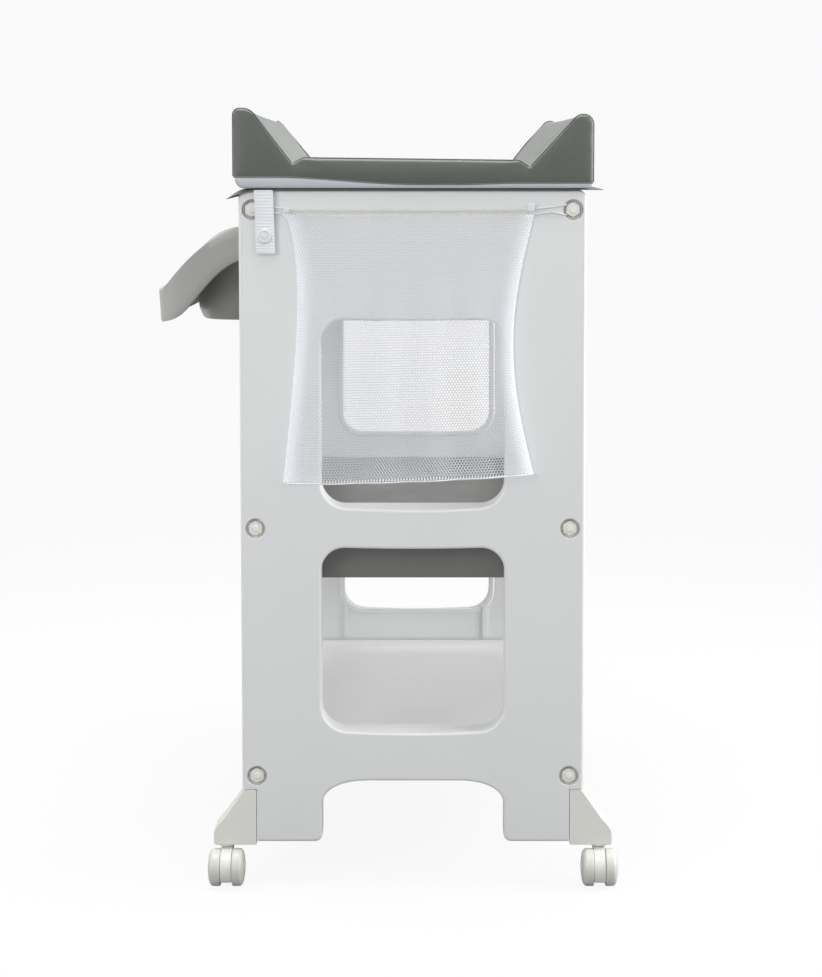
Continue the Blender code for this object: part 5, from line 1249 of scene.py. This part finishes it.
webbing = woven("white_webbing", STRAP_COLOUR, 900.0)
snap_nylon = moulded("snap_nylon", SNAP_COLOUR, 0.35, grain=2600.0)
line = strap_path()
snap_face = PANEL_FACE + STRAP_STANDOFF + 2 * STRAP_THICKNESS + STRAP_SLACK
for end, along in ENDS:
    bm = bmesh.new()
    rings = []
    run = 0.0
    for i, point in enumerate(line):
        before = line[max(i - 1, 0)]
        after = line[min(i + 1, len(line) - 1)]
        run += (point - before).length
        side = Vector((before.y - after.y, after.x - before.x)).normalized()
        rib = STRAP_RIB * max(math.sin(2 * math.pi * run / STRAP_RIB_PITCH), STRAP_RIB_FLOOR)
        leaning = along * STRAP_REACH + STRAP_LEAN * (STRAP_LEAN_LEVEL - point.y)
        ring = []
        for across, face in STRAP_SECTION:
            edge = STRAP_EDGE_SHARE if abs(across) == 1 else 1.0
            out, up = point + side * face * (STRAP_THICKNESS / 2 - STRAP_RIB + rib) * edge
            y = along * (PANEL_FACE + STRAP_STANDOFF + out)
            ring.append((leaning - along * across * STRAP_WIDTH / 2, y, up))
        rings.append(add_ring(bm, ring))
    skin_rings(bm, rings)
    add_piece(end + "_webbing", bm, webbing, "mat_top", [end + "_strap"], sharp=60.0)
    bm = bmesh.new()
    centre = (along * STRAP_REACH, STRAP_BOTTOM + SNAP_RISE)
    skin_rings(bm, [add_ring(bm, [(p.x, along * (snap_face + out), p.y) for p in circle(radius, 48, centre)])
                    for radius, out in SNAP_PROFILE])
    weigh_normals(add_piece(end + "_snap_cap", bm, snap_nylon, "mat_top", [end + "_strap_snap"], 45.0))

# Laundry bag
# A pouch of open white netting, wider at its top, which hangs slightly askew against the
# near panel. Its two cloths are sewn together at the sides and along the hem.
BAG_TOP = 0.9158
BAG_HEIGHT = 0.356
BAG_SKEW = 0.0125
BAG_TOP_LEFT = 0.1736
BAG_TOP_RIGHT = 0.162
BAG_LEFT_WAIST = 0.020
BAG_RIGHT_WAIST = 0.028
BAG_LEFT_WAIST_SHARE = 0.60
BAG_TOP_DEPTH = 0.016
BAG_BELLY_DEPTH = 0.034
BAG_BELLY_SHARE = 0.62
BAG_FRONT_SHARE = 0.40
BAG_FOLD = 0.0025
BAG_FOLDS = 5
BAG_RUMPLE = 0.0022
BAG_COLUMNS = 96
BAG_LEVELS = 72
NET_CELL = 0.0040
NET_HOLE_SHARE = 0.445
NET_GATHER_SHARE = 0.26
NET_GATHER_REACH = 0.024
NET_THICKNESS = 0.0004
SEAM_SHARE = 1.02
NET_MERGE = 0.00005
BAG_BACK_GAP = 0.0006
BAG_FOLD_START = 0.33
BAG_RUMPLE_WAVES = (14.0, 9.0, 3.7)
NET_COLOUR = (0.93, 0.945, 0.985)
# Painted glow of the yarn: light given off in its own colour, standing in for light passing through the thin
# strands.
NET_PAINTED_GLOW = 0.12
NET_EDGE_SHADE = 0.45
NET_SHADE_SLOPE = 8.0
NET_EDGE_SLOPE = 30.0

tree, given, result = start_group(
    "netting", [("Vector", "Vector"), ("Colour", "Color"), ("Cell", "Float"), ("Hole", "Float")],
    [("Colour", "Color"), ("Cover", "Float"), ("Height", "Float")])
NET = tree
split = add_node(tree, "SeparateXYZ", {"Vector": given["Vector"]}).outputs
across = maths(tree, "DIVIDE", split["X"], given["Cell"])
upward = maths(tree, "DIVIDE", split["Y"], maths(tree, "MULTIPLY", given["Cell"], math.sqrt(3)))
distances = []
for shift in (0.0, 0.5):
    parts = []
    for share, aspect in ((across, 1.0), (upward, math.sqrt(3))):
        cell = maths(tree, "SUBTRACT", maths(tree, "FRACT", maths(tree, "ADD", share, shift)), 0.5)
        parts.append(maths(tree, "POWER", maths(tree, "ABSOLUTE", maths(tree, "MULTIPLY", cell, aspect)), 2.0))
    distances.append(maths(tree, "SQRT", maths(tree, "ADD", *parts)))
strand = maths(tree, "SUBTRACT", maths(tree, "MINIMUM", *distances), given["Hole"])
cover = add_node(tree, "Clamp", {"Value": maths(tree, "MULTIPLY_ADD", strand, NET_EDGE_SLOPE, 0.5)}).outputs[0]
lit = add_node(tree, "Clamp", {"Value": maths(tree, "MULTIPLY", strand, NET_SHADE_SLOPE)}).outputs[0]
shade_colour(tree, given, result, maths(tree, "MULTIPLY_ADD", lit, 1 - NET_EDGE_SHADE, NET_EDGE_SHADE))
tree.links.new(cover, result["Cover"])
tree.links.new(strand, result["Height"])


def netting(name, colour, cell, hole):
    """Open knitted net that reads the cloth's own map, in metres."""
    material, tree, shader = start_material(name, 0.8)
    shader.inputs["Sheen Weight"].default_value = 0.2
    # The yarn glows faintly in its own colour, a painted glow that stands in for light passing through it.
    shader.inputs["Emission Color"].default_value = (*colour, 1.0)
    shader.inputs["Emission Strength"].default_value = NET_PAINTED_GLOW
    place = add_node(tree, "UVMap", uv_map="cloth").outputs[0]
    gathered = add_node(tree, "Attribute", attribute_name="gather").outputs["Fac"]
    opening = maths(tree, "MULTIPLY", maths(tree, "SUBTRACT", 1.0, gathered), hole)
    net = add_node(tree, "Group", {"Vector": place, "Colour": (*colour, 1.0), "Cell": cell, "Hole": opening},
                   node_tree=NET)
    tree.links.new(net.outputs["Colour"], shader.inputs["Base Color"])
    tree.links.new(net.outputs["Cover"], shader.inputs["Alpha"])
    put_bump(tree, shader, net.outputs["Height"], 0.5, 0.0004)
    return material


def bag_edges(share):
    """Left edge, right edge and their heights at a share of the bag's height from its top."""
    left = BAG_LEFT_WAIST * math.sin(math.pi * share ** BAG_LEFT_WAIST_SHARE) - BAG_TOP_LEFT
    right = BAG_TOP_RIGHT - BAG_RIGHT_WAIST * math.sin(math.pi * share)
    left_level = BAG_TOP - (BAG_HEIGHT + BAG_SKEW / 2) * share
    right_level = BAG_TOP - (BAG_HEIGHT - BAG_SKEW / 2) * share
    return Vector((left, left_level)), Vector((right, right_level))


def bag_point(share, across, front):
    """Point of the bag's front or back cloth."""
    left, right = bag_edges(share)
    place = left.lerp(right, across)
    back = PANEL_FACE + BAG_BACK_GAP
    if not front:
        return Vector((place.x, -back, place.y))
    depth = BAG_TOP_DEPTH + (BAG_BELLY_DEPTH - BAG_TOP_DEPTH) * smooth(share / BAG_BELLY_SHARE) - BAG_BACK_GAP
    belly = max(math.sin(math.pi * across), 0.0) ** BAG_FRONT_SHARE
    falling = min(share / BAG_FOLD_START, 1.0)
    wide, high, seed = BAG_RUMPLE_WAVES
    fold = BAG_FOLD * math.cos(2 * math.pi * BAG_FOLDS * across)
    rumple = BAG_RUMPLE * noise.noise(Vector((place.x * wide, place.y * high, seed)))
    return Vector((place.x, -back - belly * (depth + falling * (fold + rumple)), place.y))


def add_cloth_patch(bm, uv, rows):
    """Grid of cloth from rows of points, with a map in metres along the cloth."""
    grid = [add_ring(bm, row) for row in rows]
    middle = len(rows[0]) // 2
    for first, second, upper, lower in zip(grid, grid[1:], rows, rows[1:]):
        for i in range(len(first) - 1):
            face = bm.faces.new((first[i], first[i + 1], second[i + 1], second[i]))
            for loop, (row, at) in zip(face.loops, ((upper, i), (upper, i + 1), (lower, i + 1), (lower, i))):
                down = row[middle].z
                step = 1 if at >= middle else -1
                run = sum((row[n + step] - row[n]).length for n in range(middle, at, step)) * step
                loop[uv].uv = (run, down)


def add_cloth(name, rows_list, material, stands_for):
    """Piece of open net with its area, gathered towards its sides. It hardly shades what it hangs on."""
    bm = bmesh.new()
    uv = bm.loops.layers.uv.new("cloth")
    for rows in rows_list:
        add_cloth_patch(bm, uv, rows)
    bmesh.ops.remove_doubles(bm, verts=bm.verts, dist=NET_MERGE)
    gather = bm.verts.layers.float.new("gather")
    for vert in bm.verts:
        left, right = bag_edges(min(max((BAG_TOP - vert.co.z) / BAG_HEIGHT, 0.0), 1.0))
        side = min(vert.co.x - left.x, right.x - vert.co.x)
        vert[gather] = NET_GATHER_SHARE * (1 - smooth(side / NET_GATHER_REACH)) if len(rows_list) > 1 else 0.0
    piece = add_piece(name, bm, material, "frame", stands_for, sharp=180.0)
    thicken(piece, NET_THICKNESS)
    piece.visible_shadow = False
    area = SEAM_SHARE * sum(face.area for face in piece.data.polygons)
    return piece, area


net = netting("white_net", NET_COLOUR, NET_CELL, NET_HOLE_SHARE)
shares = [i / BAG_LEVELS for i in range(BAG_LEVELS + 1)]
columns = [(1 - math.cos(math.pi * i / BAG_COLUMNS)) / 2 for i in range(BAG_COLUMNS + 1)]
front_rows = [[bag_point(share, across, True) for across in columns] for share in shares]
back_rows = [[bag_point(share, across, False) for across in columns] for share in shares]
floor_rows = [back_rows[-1], [a.lerp(b, 0.5) for a, b in zip(back_rows[-1], front_rows[-1])], front_rows[-1]]
bag, bag_area = add_cloth("bag_net", [front_rows, back_rows, floor_rows], net, ["laundry_bag"])

# Bag casing, hem and cord
# A knitted casing along the bag's top holds a round white cord, which loops round both top
# bolts and carries two small stops. The side seams and the hem are bound with a narrow tape.
CASING_HEIGHT = 0.009
CASING_DEPTH = 0.0052
CASING_CELL = 0.0040
CASING_HOLE_SHARE = 0.43
CASING_END_GAP = 0.0035
CASING_FULLNESS = (0.92, 0.94)
CASING_WAVE = 0.0004
CASING_WAVES = 140.0
CASING_TURNS = 16
CASING_LENGTHS = 120
CASING_COLOUR = (0.96, 0.96, 0.91)
CORD_RADIUS = 0.0011
CORD_COLOUR = (0.80, 0.81, 0.83)
CORD_LOOP_RADIUS = 0.01195
CORD_LOOP_DEPTH = 0.0058
CORD_LEAD = 0.018
CORD_END_DROP = 0.0045
CORD_RISE_SHARE = 0.9
CORD_LEAD_SHARE = 0.5
CORD_HOOK_TURN = math.radians(290)
HOOK_STEPS = 24
TAPE_RADIUS = 0.0009
TAPE_COLOUR = (0.86, 0.87, 0.90)
SEAM_OFFSET = (0.0, -0.0012, 0.0)
HEM_OFFSET = (0.0, 0.0004, 0.0008)
CORD_STOPS = (((0.1575, 0.9245), (0.0095, 0.0022, 0.0105)), ((-0.1675, 0.9205), (0.0070, 0.0020, 0.0060)))
CORD_STOP_ROUND = 0.0007
TOP_BOLT_REACH, TOP_BOLT_LEVEL = BOLT_PLACES[2]


def cord_points():
    """Middle line of the cord: a loop round each top bolt's head and a run through the casing."""
    run = SEAT_GAP + CASING_DEPTH / 2
    casing_level = BAG_TOP + SEAT_GAP + CASING_HEIGHT / 2
    hook = []
    for i in range(HOOK_STEPS + 1):
        angle = math.pi + CORD_HOOK_TURN * i / HOOK_STEPS - CORD_HOOK_TURN / 2
        hook.append((CORD_LOOP_RADIUS * math.cos(angle), -CORD_LOOP_DEPTH, CORD_LOOP_RADIUS * math.sin(angle)))
    leads = [[(across, run / 2, up), (across + run, run, up * CORD_RISE_SHARE),
              (across + CORD_LEAD, run, up * CORD_LEAD_SHARE)] for across, _, up in (hook[0], hook[-1])]
    loop = [*reversed(leads[1]), *reversed(hook), *leads[0]]
    left = [(x - TOP_BOLT_REACH, out, z + TOP_BOLT_LEVEL) for x, out, z in loop]
    right = [(TOP_BOLT_REACH - x, out, z + TOP_BOLT_LEVEL) for x, out, z in reversed(loop)]
    tail = casing_level - CORD_END_DROP - CORD_RADIUS
    left.insert(0, (-BAG_TOP_LEFT - CORD_RADIUS, run, tail))
    right.append((BAG_TOP_RIGHT + CORD_RADIUS, run, tail))
    middle = [(x, run, casing_level) for x in (CORD_LEAD - BAG_TOP_LEFT, BAG_TOP_RIGHT - CORD_LEAD)]
    return [Vector((x, -PANEL_FACE - out, z)) for x, out, z in [*left, *middle, *right]]


casing_net = netting("casing_net", CASING_COLOUR, CASING_CELL, CASING_HOLE_SHARE)
casing_rows = []
casing_length = BAG_TOP_LEFT + BAG_TOP_RIGHT - 2 * CASING_END_GAP
for k in range(CASING_TURNS + 1):
    angle = 2 * math.pi * k / CASING_TURNS
    y = -(PANEL_FACE + SEAT_GAP + CASING_DEPTH / 2 * (1 + CASING_FULLNESS[0] * math.cos(angle)))
    level = BAG_TOP + CASING_HEIGHT / 2 * (1 + CASING_FULLNESS[1] * math.sin(angle))
    shares = [i / CASING_LENGTHS for i in range(CASING_LENGTHS + 1)]
    casing_rows.append([Vector((CASING_END_GAP - BAG_TOP_LEFT + casing_length * share, y,
                                level + CASING_WAVE * math.sin(share * CASING_WAVES))) for share in shares])
casing, casing_area = add_cloth("bag_casing_knit", [casing_rows], casing_net, ["bag_casing"])

white_cord = woven("white_cord", CORD_COLOUR, 1400.0)
cord_line = [MIDDLE + point for point in cord_points()]
cord = add_tube("bag_drawcord", cord_line, CORD_RADIUS, white_cord, "frame")
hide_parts("bag_cord")
tape = woven("white_tape", TAPE_COLOUR, 1200.0)
bm = bmesh.new()
for (x, z), size in CORD_STOPS:
    add_block(bm, size, (x, -PANEL_FACE - SEAT_GAP - CASING_DEPTH - size[1] / 2, z))
round_edges(bm, CORD_STOP_ROUND, 3)
weigh_normals(add_piece("cord_stops", bm, tape))
for name, points, offset in (("left_seam", [row[0] for row in back_rows], SEAM_OFFSET),
                             ("right_seam", [row[-1] for row in back_rows], SEAM_OFFSET),
                             ("hem", front_rows[-1], HEM_OFFSET)):
    line = [MIDDLE + point + Vector(offset) for point in points]
    add_tube("bag_" + name, line, TAPE_RADIUS, tape, "frame")

# Studio
# A plain pale floor lit almost to white, soft lamps overhead and before the unit, and one at
# each side that reaches in between the panels. None of it is part of the unit.
FLOOR_RADIUS = 3.0
FLOOR_GAP = 0.0005
FLOOR_FADE_SHARES = (0.30, 0.95)
FLOOR_COLOUR = (0.36, 0.36, 0.36)
FLOOR_SEEN_COLOUR = (0.07, 0.07, 0.07)
FLOOR_GLOW = 0.905
BACKGROUND = 0.955
AMBIENT = 0.36
LAMPS = (("overhead_lamp", (-0.3, 0.2, 3.4), (0.0, 0.0, 0.5), 2.4, 74.0),
         ("high_front_lamp", (-0.2, -1.5, 3.5), (0.0, 0.0, 0.5), 1.8, 17.0),
         ("near_left_lamp", (-0.95, -1.65, 1.45), (0.0, -0.4, 0.8), 0.7, 2.2),
         ("near_right_lamp", (0.95, -1.65, 1.45), (0.0, -0.4, 0.8), 0.7, 3.2),
         ("far_left_lamp", (-1.9, -2.7, 1.5), (-0.1, -0.2, 0.8), 1.2, 20.0),
         ("left_lamp", (-2.4, 0.0, 1.7), (0.0, 0.0, 0.6), 1.8, 12.0),
         ("right_lamp", (2.6, -0.3, 1.5), (0.0, 0.0, 0.5), 1.7, 72.0))

material, tree, shader = start_material("floor_paint", 0.9)
seen = add_node(tree, "LightPath").outputs["Is Camera Ray"]
for title, lit, shown in (("Base Color", FLOOR_COLOUR, FLOOR_SEEN_COLOUR),
                          ("Emission Color", (0.0, 0.0, 0.0), (FLOOR_GLOW, FLOOR_GLOW, FLOOR_GLOW))):
    paint = add_node(tree, "Mix", {0: seen, 6: (*lit, 1.0), 7: (*shown, 1.0)}, data_type="RGBA")
    tree.links.new(paint.outputs[2], shader.inputs[title])
shader.inputs["Specular IOR Level"].default_value = 0.0
shader.inputs["Emission Strength"].default_value = 1.0
place = add_node(tree, "TexCoord").outputs["Object"]
reach = add_node(tree, "VectorMath", {0: place}, operation="LENGTH").outputs["Value"]
start, stop = [FLOOR_RADIUS * share for share in FLOOR_FADE_SHARES]
fade = add_node(tree, "MapRange", {"Value": reach, "From Min": start, "From Max": stop,
                                   "To Min": 1.0, "To Max": 0.0}, interpolation_type="SMOOTHSTEP")
tree.links.new(fade.outputs["Result"], shader.inputs["Alpha"])
floor_mesh = bpy.data.meshes.new("floor")
bm = bmesh.new()
bmesh.ops.create_circle(bm, cap_ends=True, segments=96, radius=FLOOR_RADIUS)
bm.to_mesh(floor_mesh)
bm.free()
floor_mesh.materials.append(material)
floor = add_object("floor", floor_mesh)
floor.location = (0.0, 0.0, -FLOOR_GAP)

for name, place, aim, size, power in LAMPS:
    lamp_data = bpy.data.lights.new(name, "AREA")
    lamp_data.shape = "DISK"
    lamp_data.size = size
    lamp_data.energy = power
    lamp = add_object(name, lamp_data)
    lamp.location = place
    lamp.rotation_euler = (Vector(aim) - Vector(place)).to_track_quat("-Z", "Y").to_euler()

world = bpy.data.worlds.new("studio")
world.use_nodes = True
scene.world = world
tree = world.node_tree
tree.nodes.clear()
path = add_node(tree, "LightPath").outputs
bright = maths(tree, "MAXIMUM", path["Is Camera Ray"], path["Is Glossy Ray"])
strength = add_node(tree, "MapRange", {"Value": bright, "To Min": AMBIENT, "To Max": BACKGROUND})
sky = add_node(tree, "Background", {"Color": (1.0, 1.0, 1.0, 1.0), "Strength": strength.outputs["Result"]})
tree.links.new(sky.outputs[0], tree.nodes.new("ShaderNodeOutputWorld").inputs["Surface"])
scene.view_settings.view_transform = "Standard"
